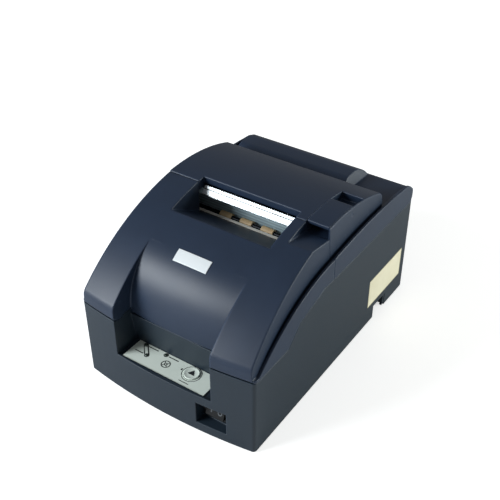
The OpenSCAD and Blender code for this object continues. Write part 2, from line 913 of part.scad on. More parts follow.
module hump_sides(inset) {
  translate([0, rear_y + 10, 0])
    rotate([90, 0, 0])
      linear_extrude(body_d)
        polygon([
          [-dome_half_w + 3 + inset, 0],
          [hump_foot_x - inset, 0],
          [hump_foot_x - inset, deck_z],
          [hump_x - inset, hump_z + 1],
          [hump_x - inset, body_h],
          [-dome_half_w + 3 + inset, body_h]
        ]);
}

module rear_solid(t) {
  intersection() {
    union() {
      across(-half_w, half_w)
        polygon(dome_back(t, split_y + seam_gap / 2 - (t > 0 ? 5 : 0)));
    }
    dome_sides(t);
  }
  intersection() {
    across(-half_w, half_w)
      polygon(deck_back(t));
    translate([0, 0, 0])
      box([-half_w + (t > 0 ? t : 0.5), split_y, 0], [half_w - (t > 0 ? t : 0.5), rear_y + 5, body_h]);
  }
  intersection() {
    across(-half_w, half_w)
      polygon(hump_back(t));
    hump_sides(t);
  }
}

module rear_plan() {
  intersection() {
    translate([0, 0, rear_seam_z - 30])
      linear_extrude(body_h)
        plan(0);
    box([-half_w, split_y + seam_gap / 2, 0], [half_w, rear_y, body_h + 5]);
  }
}

module rear_floor() {
  across(-half_w - 1, half_w + 1)
    polygon(concat(
      [[rear_y + 5, 0], [split_y - 5, 0], [split_y - 5, edge_z(split_y) + seam_gap]],
      [for (p = case_edge) if (p[0] > split_y) p + [0, seam_gap]]
    ));
}

// ribs under the rear half of the dome, none beside the lever
module rear_ribs() {
  for (x = [-rib_x[2], -rib_x[1], rib_x[0], rib_x[1]])
    across(x - rib_t / 2, x + rib_t / 2)
      intersection() {
        difference() {
          polygon(dome_back(cover_wall - 0.1, split_y - 5));
          polygon(dome_back(cover_wall + rib_depth, split_y - 10));
        }
        translate([exit_rear_y + 20, body_h - 30])
          square([dome_end - 6 - exit_rear_y - 20, 40]);
      }
}

module rear_cover() {
  color("#2b313a")
    difference() {
      union() {
        rear_ribs();
        difference() {
          union() {
            rear_solid(0);
            both_sides()
              skirt_body("rear");
          }
          rear_solid(cover_wall);
          rear_floor();
        }
        intersection() {
          rear_solid(0);
          union() {
            // walls of the paper exit
            both_sides()
              across(exit_half, exit_half + cover_wall)
                polygon([
                  [split_y, body_h - 9],
                  [exit_rear_y + cover_wall, body_h - 9],
                  [exit_rear_y + cover_wall, body_h + 5],
                  [split_y, body_h + 5]
                ]);
            across(-exit_half - cover_wall, exit_half + cover_wall)
              translate([exit_rear_y, body_h - 6])
                square([cover_wall, 12]);
            // well of the lever
            across(lever_x[0] - 0.3 - cover_wall, lever_x[0] - 0.3)
              lever_well(cover_wall);
            across(lever_x[0] - 0.3 - cover_wall, half_w)
              difference() {
                lever_well(cover_wall);
                lever_well(0);
              }
          }
        }
        // hinge ears
        both_sides()
          across(ear_x[0], ear_x[1]) {
            translate(rear_hinge)
              circle(r = ear_r - 0.2);
            translate([rear_hinge[0], rear_hinge[1] - 1])
              square([rear_hinge_in - 0.5, 5.2]);
          }
      }
      // the exit's rear half
      across(-exit_half, exit_half)
        translate([split_y - 5, 0])
          square([exit_rear_y - split_y + 5, body_h + 5]);
      // lever and the slot behind it
      across(lever_x[0] - 0.3, lever_x[1] + 0.3)
        lever_well(0);
      // opening for the lever's arm
      box([frame_x - 6, lever_pivot[0] - 20, pocket_floor_z - 10], [frame_x, lever_pivot[0] - 8, body_h]);
      rod(lever_pivot, pin_r + seat_gap, lever_x[0] - 1.8, lever_x[1] + 1);
      both_sides()
        rod(rear_hinge, pin_r + run_gap, ear_x[0] - 1, ear_x[1] + 1);
      // rounded lower edge at the back
      rear_lip_rounding();
    }
}

module rear_lip_rounding() {
  z = rear_seam_z + seam_gap;
  across(-half_w - 1, half_w + 1)
    polygon(concat(
      [[rear_y + 3, z - 3], [rear_y - lip_round, z - 3]],
      arc_pts([rear_y - lip_round, z + lip_round], lip_round, 270, 360, 6),
      [[rear_y + 3, z + lip_round]]
    ));
  both_sides()
    difference() {
      box([half_w - wall - 0.3, rear_hinge[0], 0], [half_w + 1, rear_y + 1, rear_hinge[1]]);
      rod(rear_hinge, rear_hinge_up - 0.4, half_w - 10, half_w + 5);
    }
}

// space of the lever, grown by t below: deep in front, shallow behind the pivot
module lever_well(t) {
  polygon([
    [split_y - 5, body_h + 5],
    [split_y - 5, pocket_floor_z - t],
    [slot_end_y + t, pocket_floor_z - t],
    [slot_end_y + t, body_h + 5]
  ]);
}

module lever_pin() {
  color("#c3c6ca")
    rod(lever_pivot, pin_r, lever_x[0] - 1.5, lever_x[1] + 0.9);
}

module cover_lever() {
  color("#2f3540")
    difference() {
      union() {
        across(lever_x[0], lever_x[1]) {
          // thumb plate with its turned-down front edge
          intersection() {
            difference() {
              translate(dome_c)
                circle(r = dome_r, $fn = 360);
              translate(dome_c)
                circle(r = dome_r - lever_t, $fn = 360);
            }
            translate([lever_y[0], body_h - 20])
              square([lever_y[1] - lever_y[0], 30]);
          }
        }
        across(lever_x[0] + 1.5, lever_x[0] + 5)
          lever_hub();
        across(lever_x[1] - 5, lever_x[1] - 1.5)
          lever_hub();
        // arm that reaches the catch on the side frame
        across(frame_x - 5, frame_x - 1)
          polygon([
            [lever_pivot[0] - 17, lever_pivot[1] + 4.6],
            [lever_pivot[0] - 17, lever_pivot[1] - 20],
            [lever_pivot[0] - 15.5, lever_pivot[1] - 22],
            [lever_pivot[0] - 13.6, lever_pivot[1] - 20],
            [lever_pivot[0] - 13.6, lever_pivot[1] + 4.6]
          ]);
      }
      rod(lever_pivot, pin_r + run_gap, lever_x[0] - 1, lever_x[1] + 1);
    }
}

module lever_hub() {
  translate(lever_pivot)
    circle(r = 2.9);
  translate([lever_pivot[0] - 2.9, lever_pivot[1]])
    square([5.8, 4.5]);
}

// ------------------------------------------------------------- mechanism

paper_y = front_y + 125;
shaft_c = [front_y + 102, 52];
feed_c = [paper_y + feed_r + 0.2, 54];
pinch_r = 4;
pinch_c = [paper_y - pinch_r - 0.3, 54];
exit_c = [front_y + 125.5, body_h - 35];
base_z = 24;
pulley_x = frame_x - 20;
pulley_y = front_y + 58;
belt_z = [48, 52];
belt_gap = 0.1;
belt_t = 1;
shelf_z = 64;
cassette_h = 20;
print_z = shelf_z + cassette_h / 2;
knob_at = [26 - frame_x, front_y + 56];

module side_frame() {
  across(frame_x, frame_x + frame_t)
    difference() {
      polygon([
        [front_y + 36, floor_z + 5],
        [front_y + 146, floor_z + 5],
        [front_y + 170, 26],
        [front_y + 170, 56],
        [front_y + 150, 60],
        [front_y + 144, exit_c[1] - 3.5],
        [front_y + 142, exit_c[1] + 16.5],
        [front_y + 116, exit_c[1] + 16.5],
        [front_y + 113, exit_c[1] - 3.5],
        [front_y + 96, shelf_z],
        [front_y + 36, shelf_z]
      ]);
      translate(shaft_c)
        circle(r = shaft_r + seat_gap);
      translate(feed_c)
        circle(r = 3 + run_gap);
      translate(pinch_c)
        circle(r = 1.5 + run_gap);
      translate(exit_c)
        circle(r = 2 + run_gap);
      // lightening window
      translate([front_y + 50, 32])
        square([22, 18]);
    }
}

module left_frame() {
  color("#a9adb0")
    mirror([1, 0, 0])
      side_frame();
}

module right_frame() {
  color("#a9adb0") {
    difference() {
      side_frame();
      rod(pinion_c, 4, frame_x - 1, frame_x + frame_t + 1);
      rod(idler_c, 1.5 + seat_gap, frame_x - 1, frame_x + frame_t + 1);
    }
    // catch for the lever's arm
    rod([lever_pivot[0] - 10.9, lever_pivot[1] - 18], 1.5, frame_x - 7, frame_x + 0.2);
  }
}

module mechanism_base() {
  color("#9da2a5")
    difference() {
      box([-frame_x, front_y + 38, base_z], [frame_x, front_y + 142, base_z + frame_t]);
      for (x = [-36, -12, 12])
        box([x, front_y + 90, base_z - 1], [x + 22, front_y + 112, base_z + 3]);
    }
}

module carriage_shaft() {
  color("#d4d6d8")
    rod(shaft_c, shaft_r, -frame_x - 3, frame_x + 3);
}

rail_y = [front_y + 74, front_y + 78];
arm_z = [44, 47];

module guide_rail() {
  color("#8f9497") {
    box([-frame_x, rail_y[0], arm_z[0] - 3.8], [frame_x, rail_y[1], arm_z[0] - 0.3]);
    both_sides()
      box([frame_x - 8, rail_y[0], base_z + frame_t], [frame_x - 4, rail_y[1], arm_z[0] - 3]);
  }
}

module cassette_shelf() {
  color("#8f9497")
    difference() {
      box([-frame_x, front_y + 40, shelf_z - frame_t], [frame_x, front_y + 54, shelf_z]);
      box([-20, front_y + 39, shelf_z - 3], [20, front_y + 46, shelf_z + 1]);
      translate([knob_at[0], knob_at[1], shelf_z - 3])
        cylinder(r = 3.7, h = 4);
    }
}

module platen_bar() {
  color("#4a4d50")
    box([-frame_x, paper_y + 1.2, print_z - 8], [frame_x, paper_y + 7, print_z + 8]);
}

module exit_bar() {
  color("#d9dbd8") {
    box([-frame_x, funnel_end[0] + 0.4, exit_c[1] - 3], [frame_x, funnel_end[0] + 2.4, funnel_end[1] + 0.6]);
    both_sides()
      box([frame_x - 3, funnel_end[0] - 1, exit_c[1] - 8], [frame_x, funnel_end[0] + 5, exit_c[1] - 2.5]);
  }
}

tear_foot = [front_y + 114, body_h - 13.5];
tear_turn = 50;
tear_w = exit_w - 4;
tear_len = 7;
tear_t = 1.6;
chute_y = exit_c[0] + exit_r + 0.8;

// plate behind the exit rollers, bent forward to carry the tear bar
module paper_chute() {
  rise = [cos(tear_turn), sin(tear_turn)];
  back = [sin(tear_turn), -cos(tear_turn)];
  color("#8b9aa5")
    difference() {
      across(-frame_x, frame_x)
        polygon([
          [chute_y, exit_c[1] - 1],
          [chute_y, exit_c[1] + 9],
          tear_foot,
          tear_foot + 5 * rise,
          tear_foot + 5 * rise + back,
          tear_foot + 0.8 * rise + 1.2 * back,
          [chute_y + 1, exit_c[1] + 9.7],
          [chute_y + 1, exit_c[1] - 1]
        ]);
      // the lever's well, its arm and its catch stay clear
      box([frame_x - 16, tear_foot[0] - 2, tear_foot[1] - 3], [frame_x + 1, front_y + 140, body_h]);
      box([frame_x - 8, front_y + 122, exit_c[1] + 3], [frame_x + 1, front_y + 140, body_h]);
    }
}

module tear_bar() {
  n = floor(tear_w / tooth_pitch / 2);
  color("#eef0f0")
    translate([0, tear_foot[0], tear_foot[1]])
      rotate([tear_turn, 0, 0]) {
        // blade: a strip whose upper edge is cut into teeth, with a groove along it
        difference() {
          linear_extrude(tear_t)
            polygon(concat(
              [[-tear_w / 2, 0], [tear_w / 2, 0]],
              [for (i = [n:-1:-n])
                each [[i * tooth_pitch + tooth_pitch / 2, tear_len],
                   [i * tooth_pitch, tear_len + 0.9]]],
              [[-n * tooth_pitch - tooth_pitch / 2, tear_len]]
            ));
          translate([-tear_w / 2 - 1, 4.6, tear_t - 0.6])
            cube([tear_w + 2, 0.7, 1]);
        }
      }
}

// the guide runs under the feed roller, from the platen to the tray's front edge
guide_end = tray_c[0] - tray_r - 2;
guide_span = guide_end - paper_y - 3;
guide_z = feed_c[1] - feed_r - 3.5;
guide_t = 1.2;

module paper_guide() {
  color("#23262a")
    across(-tray_w / 2, tray_w / 2)
      polygon([
        [guide_end, guide_z + 2.5], [guide_end - 0.3 * guide_span, guide_z + 0.3],
        [paper_y + 3 + 0.3 * guide_span, guide_z], [paper_y + 3, guide_z + 0.5],
        [paper_y + 3, guide_z + 0.5 - guide_t], [paper_y + 3 + 0.3 * guide_span, guide_z - guide_t],
        [guide_end - 0.3 * guide_span, guide_z + 0.3 - guide_t], [guide_end, guide_z + 2.5 - guide_t]
      ]);
  color("#23262a")
    both_sides()
      box([tray_w / 2 - 3, paper_y + 8, guide_z - 0.9], [frame_x, paper_y + 11.5, guide_z + 0.6]);
}

// stepper motor lying along X or standing up
module motor(r, h) {
  cylinder(r = r, h = h);
  translate([0, 0, h])
    cylinder(r = r * 0.35, h = 1.2);
}

module carriage_motor() {
  color("#b4b7b5")
    translate([-pulley_x, pulley_y, base_z + frame_t]) {
      motor(14, 16);
      cylinder(r = 1, h = belt_z[1] + 1.5 - base_z - frame_t);
    }
}

module idler_post() {
  color("#c3c6ca")
    translate([pulley_x, pulley_y, base_z + frame_t]) {
      cylinder(r = 5, h = 6);
      cylinder(r = 2, h = belt_z[1] + 1.5 - base_z - frame_t);
    }
}

module pulley(bore) {
  difference() {
    union() {
      cylinder(r = pulley_r, h = belt_z[1] - belt_z[0] + 0.6);
      translate([0, 0, -0.8])
        cylinder(r = pulley_r + 1.6, h = 0.9);
    }
    translate([0, 0, -2])
      cylinder(r = bore, h = 12);
  }
}

module motor_pulley() {
  color("#d8cfa8")
    translate([-pulley_x, pulley_y, belt_z[0]])
      pulley(1 + run_gap);
}

module idler_pulley() {
  color("#d8cfa8")
    translate([pulley_x, pulley_y, belt_z[0]])
      pulley(2 + run_gap);
}

module belt_plan(r) {
  translate([-pulley_x, -r])
    square([2 * pulley_x, 2 * r]);
  translate([-pulley_x, 0])
    circle(r = r);
  translate([pulley_x, 0])
    circle(r = r);
}

module timing_belt() {
  color("#1d1d1d")
    translate([0, pulley_y, belt_z[0] + 0.2])
      linear_extrude(belt_z[1] - belt_z[0] - 0.4)
        difference() {
          belt_plan(pulley_r + belt_gap + belt_t);
          belt_plan(pulley_r + belt_gap);
        }
}

module frame_screws() {
  color("#b9bcc0")
    both_sides()
      for (p = [[front_y + 52, 14], [front_y + 136, 14], [front_y + 46, shelf_z - 6]])
        rod(p, 2.6, frame_x + frame_t, frame_x + frame_t + 1.6);
}

belt_run_y = pulley_y + pulley_r + belt_gap;

module carriage() {
  color("#26292d")
    difference() {
      union() {
        box([-16, shaft_c[0] - 8, arm_z[0]], [16, shaft_c[0] + 8, shaft_c[1] + 8]);
        box([-13, belt_run_y - 3, arm_z[0]], [13, shaft_c[0] - 7, arm_z[1]]);
        // clamp on both sides of the belt
        box([-8, belt_run_y - 3, arm_z[1] - 0.5], [8, belt_run_y - 0.4, belt_z[1] + 1.5]);
        box([-8, belt_run_y + belt_t + 0.4, arm_z[1] - 0.5], [8, belt_run_y + belt_t + 3, belt_z[1] + 1.5]);
      }
      rod(shaft_c, shaft_r + run_gap, -20, 20);
    }
}

head_r = 12;
nose_y = paper_y - 2.6;

module print_head() {
  color("#3a3d40") {
    difference() {
      union() {
        box([-9, shaft_c[0] - 7, shaft_c[1] + 8], [9, shaft_c[0] + 7, print_z - 6]);
        // coil housing with its cooling fins
        translate([0, shaft_c[0] - 20, print_z])
          rotate([-90, 0, 0])
            cylinder(r = head_r - 2, h = 26);
        for (i = [0:5])
          translate([0, shaft_c[0] - 18 + i * 3.4, print_z])
            rotate([-90, 0, 0])
              cylinder(r = head_r, h = 1.4);
        // nose with the needle guide
        across(-4.5, 4.5)
          polygon([
            [shaft_c[0] + 4, print_z - 7],
            [nose_y, print_z - 3],
            [nose_y, print_z + 3],
            [shaft_c[0] + 4, print_z + 7]
          ]);
      }
    }
  }
  color("#c3c6ca")
    for (i = [-4:4])
      translate([0, nose_y - 0.5, print_z + i * 0.6])
        rotate([-90, 0, 0])
          cylinder(r = 0.15, h = 0.9, $fn = 16);
}

cassette_half = frame_x - 4;
cassette_arm = 14;
cassette_front = front_y + 40;
cassette_mid = front_y + 78;

module ribbon_cassette() {
  color("#202226")
    difference() {
      union() {
        difference() {
          translate([0, 0, shelf_z + 0.3])
            linear_extrude(cassette_h - 0.3)
              offset(r = 2)
                offset(delta = -2)
                  difference() {
                    translate([-cassette_half, cassette_front])
                      square([2 * cassette_half, paper_y - 3 - cassette_front]);
                    translate([-cassette_half + cassette_arm, cassette_mid])
                      square([2 * (cassette_half - cassette_arm), 100]);
                  }
          // outer ends of the arms slope towards the platen
          both_sides()
            translate([cassette_half, paper_y - 3, 0])
              rotate([0, 0, 45])
                translate([-6, -6, shelf_z - 1])
                  cube([12, 12, cassette_h + 2]);
        }
        // grip ribs on the lid
        for (i = [0:4])
          box([10 + i * 6, cassette_front + 6, shelf_z + cassette_h - 0.1],
            [12 + i * 6, cassette_front + 26, shelf_z + cassette_h + 1]);
      }
      translate([knob_at[0], knob_at[1], shelf_z - 1])
        cylinder(r = 3.2 + run_gap, h = cassette_h + 3);
      // slots that let the ribbon out
      both_sides()
        box([cassette_half - cassette_arm - 1, paper_y - 8, shelf_z + 3],
          [cassette_half - cassette_arm + 6, paper_y - 6.5, shelf_z + cassette_h - 3]);
    }
}

module ink_ribbon() {
  color("#101014")
    box([-cassette_half + 8, paper_y - 1.4, print_z - 6.5],
      [cassette_half - 8, paper_y - 1.1, print_z + 6.5]);
  color("#101014")
    both_sides()
      box([cassette_half - 9, paper_y - 3, print_z - 6.5], [cassette_half - 8, paper_y - 1.1, print_z + 6.5]);
}

module ribbon_knob() {
  color("#3b6f8f")
    translate([knob_at[0], knob_at[1], 0]) {
      translate([0, 0, shelf_z + cassette_h + 0.4])
        linear_extrude(7)
          polygon([for (i = [0:35]) let (a = i * 10, r = i % 2 == 0 ? 9 : 8) [r * cos(a), r * sin(a)]]);
      translate([0, 0, shelf_z - 6])
        cylinder(r = 3.2, h = cassette_h + 7);
    }
}

// ------------------------------------------------------------------ gears

feed_teeth = 36;
exit_teeth = 26;
pinion_teeth = 14;
gear_x = frame_x + frame_t + 0.8;

// the smallest idler that still reaches from the feed gear to the exit gear
idler_teeth = ceil((norm(exit_c - feed_c) + 0.6) / gear_m - (feed_teeth + exit_teeth) / 2);
function pitch_r(n) = n * gear_m / 2;
function apart(a, b) = (a + b) * gear_m / 2 + 0.05;

// the idler hangs between feed gear and exit gear, behind the line of their axes
to_exit = exit_c - feed_c;
reach = norm(to_exit);
along = (pow(apart(feed_teeth, idler_teeth), 2) - pow(apart(idler_teeth, exit_teeth), 2)
  + reach * reach) / (2 * reach);
aside = sqrt(pow(apart(feed_teeth, idler_teeth), 2) - along * along);
idler_c = feed_c + to_exit * along / reach + [to_exit[1], -to_exit[0]] * aside / reach;
pinion_way = -32;
pinion_c = feed_c + apart(feed_teeth, pinion_teeth) * [cos(pinion_way), sin(pinion_way)];

// phase of a driven gear that meshes with a driver at the given phase
function mesh_turn(driver_turn, driver_n, way, driven_n) =
  let (off = (driver_turn - way) * driver_n / 360)
    way + 180 - (off - round(off)) * 360 / driven_n + 180 / driven_n;

feed_turn = 0;
idler_way = atan2(idler_c[1] - feed_c[1], idler_c[0] - feed_c[0]);
idler_turn = mesh_turn(feed_turn, feed_teeth, idler_way, idler_teeth);
exit_way = atan2(exit_c[1] - idler_c[1], exit_c[0] - idler_c[0]);
exit_turn = mesh_turn(idler_turn, idler_teeth, exit_way, exit_teeth);
pinion_turn = mesh_turn(feed_turn, feed_teeth, pinion_way, pinion_teeth);

// spur gear round c, with n teeth and the first of them at angle turn
module gear(c, n, turn, bore) {
  step = 360 / n;
  root = pitch_r(n) - 1.1 * gear_m;
  tip = pitch_r(n) + 0.85 * gear_m;
  across(gear_x, gear_x + gear_w)
    translate(c)
      rotate(turn)
        difference() {
          polygon([for (i = [0:n - 1], k = [0:3])
            let (r = k == 0 || k == 3 ? root : tip, w = [-0.26, -0.12, 0.12, 0.26][k], a = (i + w) * step)
              [r * cos(a), r * sin(a)]]);
          circle(r = bore);
        }
}

// round windows through a gear, at a share of its pitch radius
module wheel_windows(c, n, angles, at, size) {
  r = pitch_r(n);
  for (a = angles)
    rod(c + at * r * [cos(a), sin(a)], size * r, gear_x - 1, gear_x + gear_w + 1);
}

module feed_roller() {
  color("#1b1b1b")
    rod(feed_c, feed_r, -40, 40);
  color("#c3c6ca")
    rod(feed_c, 3, -frame_x - 2.5, gear_x + gear_w + 1);
}

module feed_gear() {
  color("#e6e2d2")
    difference() {
      gear(feed_c, feed_teeth, feed_turn, 3 + seat_gap);
      // spokes are left between round windows
      wheel_windows(feed_c, feed_teeth, [0:60:300], 0.58, 0.2);
    }
}

module pinch_roller() {
  color("#2a2a2a") {
    for (x = [-30, -10, 10, 30])
      rod(pinch_c, pinch_r, x - 6, x + 6);
  }
  color("#c3c6ca")
    rod(pinch_c, 1.5, -frame_x - 2.5, frame_x + frame_t + 0.4);
}

module idler_gear() {
  color("#e6e2d2")
    difference() {
      gear(idler_c, idler_teeth, idler_turn, 1.5 + run_gap);
      wheel_windows(idler_c, idler_teeth, [0:72:288], 0.55, 0.19);
    }
}

module idler_stub() {
  color("#c3c6ca") {
    rod(idler_c, 1.5, frame_x - 0.5, gear_x + gear_w + 0.3);
    rod(idler_c, 3, gear_x + gear_w + 0.3, gear_x + gear_w + 1.1);
  }
}

module motor_pinion() {
  color("#c9a44a")
    gear(pinion_c, pinion_teeth, pinion_turn, 1 + run_gap);
}

module feed_motor() {
  color("#b4b7b5") {
    rod(pinion_c, 12, tray_w / 2 + 3, frame_x);
    rod(pinion_c, 3.8, frame_x, frame_x + frame_t);
    rod(pinion_c, 1, frame_x, gear_x + gear_w + 1);
  }
}

module exit_shaft() {
  color("#c3c6ca")
    rod(exit_c, 2, -frame_x - 2.5, gear_x + gear_w + 1);
}

roller_pitch = 20;
roller_first = -28;
module exit_rollers() {
  color("#cdb48a")
    for (i = [0:3])
      difference() {
        rod(exit_c, exit_r, roller_first + i * roller_pitch - 5.5, roller_first + i * roller_pitch + 5.5);
        rod(exit_c, 2 + seat_gap, -frame_x, frame_x);
      }
}

module exit_gear() {
  color("#e6e2d2")
    gear(exit_c, exit_teeth, exit_turn, 2 + seat_gap);
}

// -------------------------------------------------------------- paper bay

near_c = [tray_c[0] + 24, tray_c[1] - 20];
near_tip = near_c + [-11, 5];

module paper_tray() {
  color("#23272d")
    difference() {
      union() {
        rod(tray_c, tray_r + 2, -tray_w / 2 - 2, tray_w / 2 + 2);
      }
      rod(tray_c, tray_r, -tray_w / 2, tray_w / 2);
      box([-tray_w, tray_c[0] - 60, tray_c[1] - 6], [tray_w, tray_c[0] + 60, tray_c[1] + 60]);
      // front edge lies lower, where the paper leaves
      box([-tray_w, tray_c[0] - 60, tray_c[1] - 30], [tray_w, tray_c[0] - 30, tray_c[1] + 60]);
      // window for the finger of the near-end lever
      box([-tray_w / 2 - 3, near_tip[0] - 4.4, near_tip[1] - 4.4],
        [-tray_w / 2 + 1, near_tip[0] + 4.4, near_tip[1] + 4.4]);
    }
  color("#23272d")
    rod(near_c, 1.5, -tray_w / 2 - 5, -tray_w / 2 - 1.9);
}

module near_end_lever() {
  color("#3d6b57")
    difference() {
      union() {
        across(-tray_w / 2 - 4.4, -tray_w / 2 - 2.4) {
          translate(near_c)
            circle(r = 3.5);
          translate(near_c)
            rotate(atan2(5, -11))
              translate([0, -1.8])
                square([norm(near_tip - near_c), 3.6]);
        }
        rod(near_tip, 2, -tray_w / 2 - 4.4, -tray_w / 2 + 1.6);
      }
      rod(near_c, 1.5 + run_gap, -tray_w / 2 - 6, -tray_w / 2 - 1);
    }
}

// ------------------------------------------------- boards and connectors

module main_board() {
  color("#2f6b3c")
    difference() {
      box([-board_half, front_y + 36, board_z], [board_half, rear_y - 81, board_z + 1.6]);
      for (p = post_at)
        translate([p[0], p[1], board_z - 1])
          cylinder(r = 1.6, h = 4);
    }
}

module board_parts() {
  top = board_z + 1.6;
  color("#1a1a1c") {
    box([-30, -40, top], [-8, -18, top + 2.4]);
    box([10, -36, top], [24, -24, top + 2]);
    box([-50, 10, top], [-38, 34, top + 6]);
    box([16, -70, top], [46, -64, top + 6]);
  }
  color("#3c4654")
    for (p = [[-44, -60], [-30, -60], [34, 6], [44, 20]])
      translate([p[0], p[1], top])
        cylinder(r = 4.5, h = 10);
}

io_y = io_front;
plug_z = 18;
power_x = io_w - 24;
data_x = 35 - io_w;

module interface_plate() {
  color("#b0b4b6")
    difference() {
      box([-io_w + 3, io_y, floor_z + 0.5], [io_w - 3, io_y + 1.2, io_top - 0.6]);
      box([data_x - 19, io_y - 1, plug_z - 6], [data_x + 19, io_y + 3, plug_z + 6]);
      box([7, io_y - 1, plug_z - 6.5], [21, io_y + 3, plug_z + 6.5]);
      translate([power_x, io_y - 1, plug_z])
        rotate([-90, 0, 0])
          cylinder(r = 7.2, h = 4);
      for (x = [7 - io_w, io_w - 7])
        translate([x, io_y - 1, plug_z])
          rotate([-90, 0, 0])
            cylinder(r = 1.6, h = 4);
    }
}

module interface_socket() {
  color("#c3c6ca")
    difference() {
      translate([data_x, io_y - 8, plug_z])
        rotate([-90, 0, 0])
          linear_extrude(14)
            polygon([[-18.5, 5], [18.5, 5], [16.5, -5], [-16.5, -5]]);
      translate([data_x, io_y + 1, plug_z])
        rotate([-90, 0, 0])
          linear_extrude(14)
            polygon([[-17.5, 4.2], [17.5, 4.2], [15.7, -4.2], [-15.7, -4.2]]);
    }
  color("#d8b45a")
    for (row = [0, 1], i = [0:11])
      translate([data_x - 14.3 + i * 2.6 + row * 1.3, io_y + 0.9, plug_z + 1.4 - row * 2.8])
        rotate([-90, 0, 0])
          cylinder(r = 0.5, h = 3.6, $fn = 16);
}

module drawer_socket() {
  color("#24272b")
    difference() {
      box([7.4, io_y - 8, plug_z - 6.1], [20.6, io_y + 4, plug_z + 6.1]);
      box([9, io_y - 4, plug_z - 3.6], [19, io_y + 5, plug_z + 3.4]);
      box([12, io_y - 4, plug_z + 3.3], [16, io_y + 5, plug_z + 5]);
    }
}

module power_socket() {
  color("#1c1e21")
    translate([power_x, io_y - 8, plug_z])
      rotate([-90, 0, 0])
        difference() {
          cylinder(r = 6.9, h = 12);
          translate([0, 0, 4])
            cylinder(r = 5, h = 12);
        }
  color("#d8b45a")
    for (a = [90, 210, 330])
      translate([power_x + 2.6 * cos(a), io_y - 4.1, plug_z + 2.6 * sin(a)])
        rotate([-90, 0, 0])
          cylinder(r = 0.6, h = 7, $fn = 16);
}

module interface_board() {
  color("#2f6b3c")
    box([12 - io_w, io_y - 9.6, floor_z], [io_w - 12, io_y - 8, io_top - 2]);
}

module interface_screws() {
  color("#b9bcc0")
    for (x = [7 - io_w, io_w - 7])
      translate([x, 0, plug_z])
        rotate([-90, 0, 0]) {
          translate([0, 0, io_y + 1.2])
            cylinder(r = 3, h = 2);
          translate([0, 0, io_y - 4])
            cylinder(r = 1.5, h = 6);
        }
}

lower_case();
rubber_feet();
case_screws();
hinge_pins();
control_panel();
panel_board();
indicator_lamps();
power_switch_body();
switch_terminals();
front_cover();
name_badge();
rear_cover();
lever_pin();
cover_lever();
feed_button();
power_rocker();
left_frame();
right_frame();
mechanism_base();
carriage_shaft();
guide_rail();
cassette_shelf();
platen_bar();
exit_bar();
paper_chute();
tear_bar();
paper_guide();
carriage_motor();
feed_motor();
idler_post();
timing_belt();
frame_screws();
carriage();
print_head();
ribbon_cassette();
ink_ribbon();
ribbon_knob();
motor_pulley();
idler_pulley();
feed_roller();
feed_gear();
pinch_roller();
idler_gear();
idler_stub();
motor_pinion();
exit_shaft();
exit_rollers();
exit_gear();
paper_tray();
near_end_lever();
main_board();
board_parts();
interface_board();
interface_plate();
interface_socket();
drawer_socket();
power_socket();
interface_screws();
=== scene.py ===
import math
import bpy
import bmesh
from mathutils import Matrix, Vector


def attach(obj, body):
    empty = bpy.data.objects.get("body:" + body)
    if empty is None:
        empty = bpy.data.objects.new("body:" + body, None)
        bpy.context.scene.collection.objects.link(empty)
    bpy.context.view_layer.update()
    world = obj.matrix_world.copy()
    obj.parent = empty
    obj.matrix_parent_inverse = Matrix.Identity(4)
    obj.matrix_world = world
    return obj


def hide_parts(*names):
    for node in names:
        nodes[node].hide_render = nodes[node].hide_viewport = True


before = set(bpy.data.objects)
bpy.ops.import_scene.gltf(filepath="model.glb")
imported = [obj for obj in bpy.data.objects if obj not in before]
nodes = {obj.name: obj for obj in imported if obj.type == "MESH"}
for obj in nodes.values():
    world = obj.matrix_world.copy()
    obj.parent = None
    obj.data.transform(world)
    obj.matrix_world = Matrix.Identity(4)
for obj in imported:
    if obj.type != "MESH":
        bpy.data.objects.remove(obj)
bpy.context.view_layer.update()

# ---------------------------------------------------------------- camera
# The printer is seen from its front right and from above, as in the photograph.
# Angles, distance and lens come from the printer's own edges.
lens_back = Vector((0.4545, -0.6677, 0.5900)).normalized()
camera = bpy.data.objects.new("camera", bpy.data.cameras.new("camera"))
bpy.context.scene.collection.objects.link(camera)
camera.location = (0.30905, -0.46027, 0.48651)
camera.rotation_euler = (-lens_back).to_track_quat("-Z", "Y").to_euler()
camera.data.lens = 60.9
camera.data.sensor_width = 36.0
camera.data.clip_start = 0.01
bpy.context.scene.camera = camera


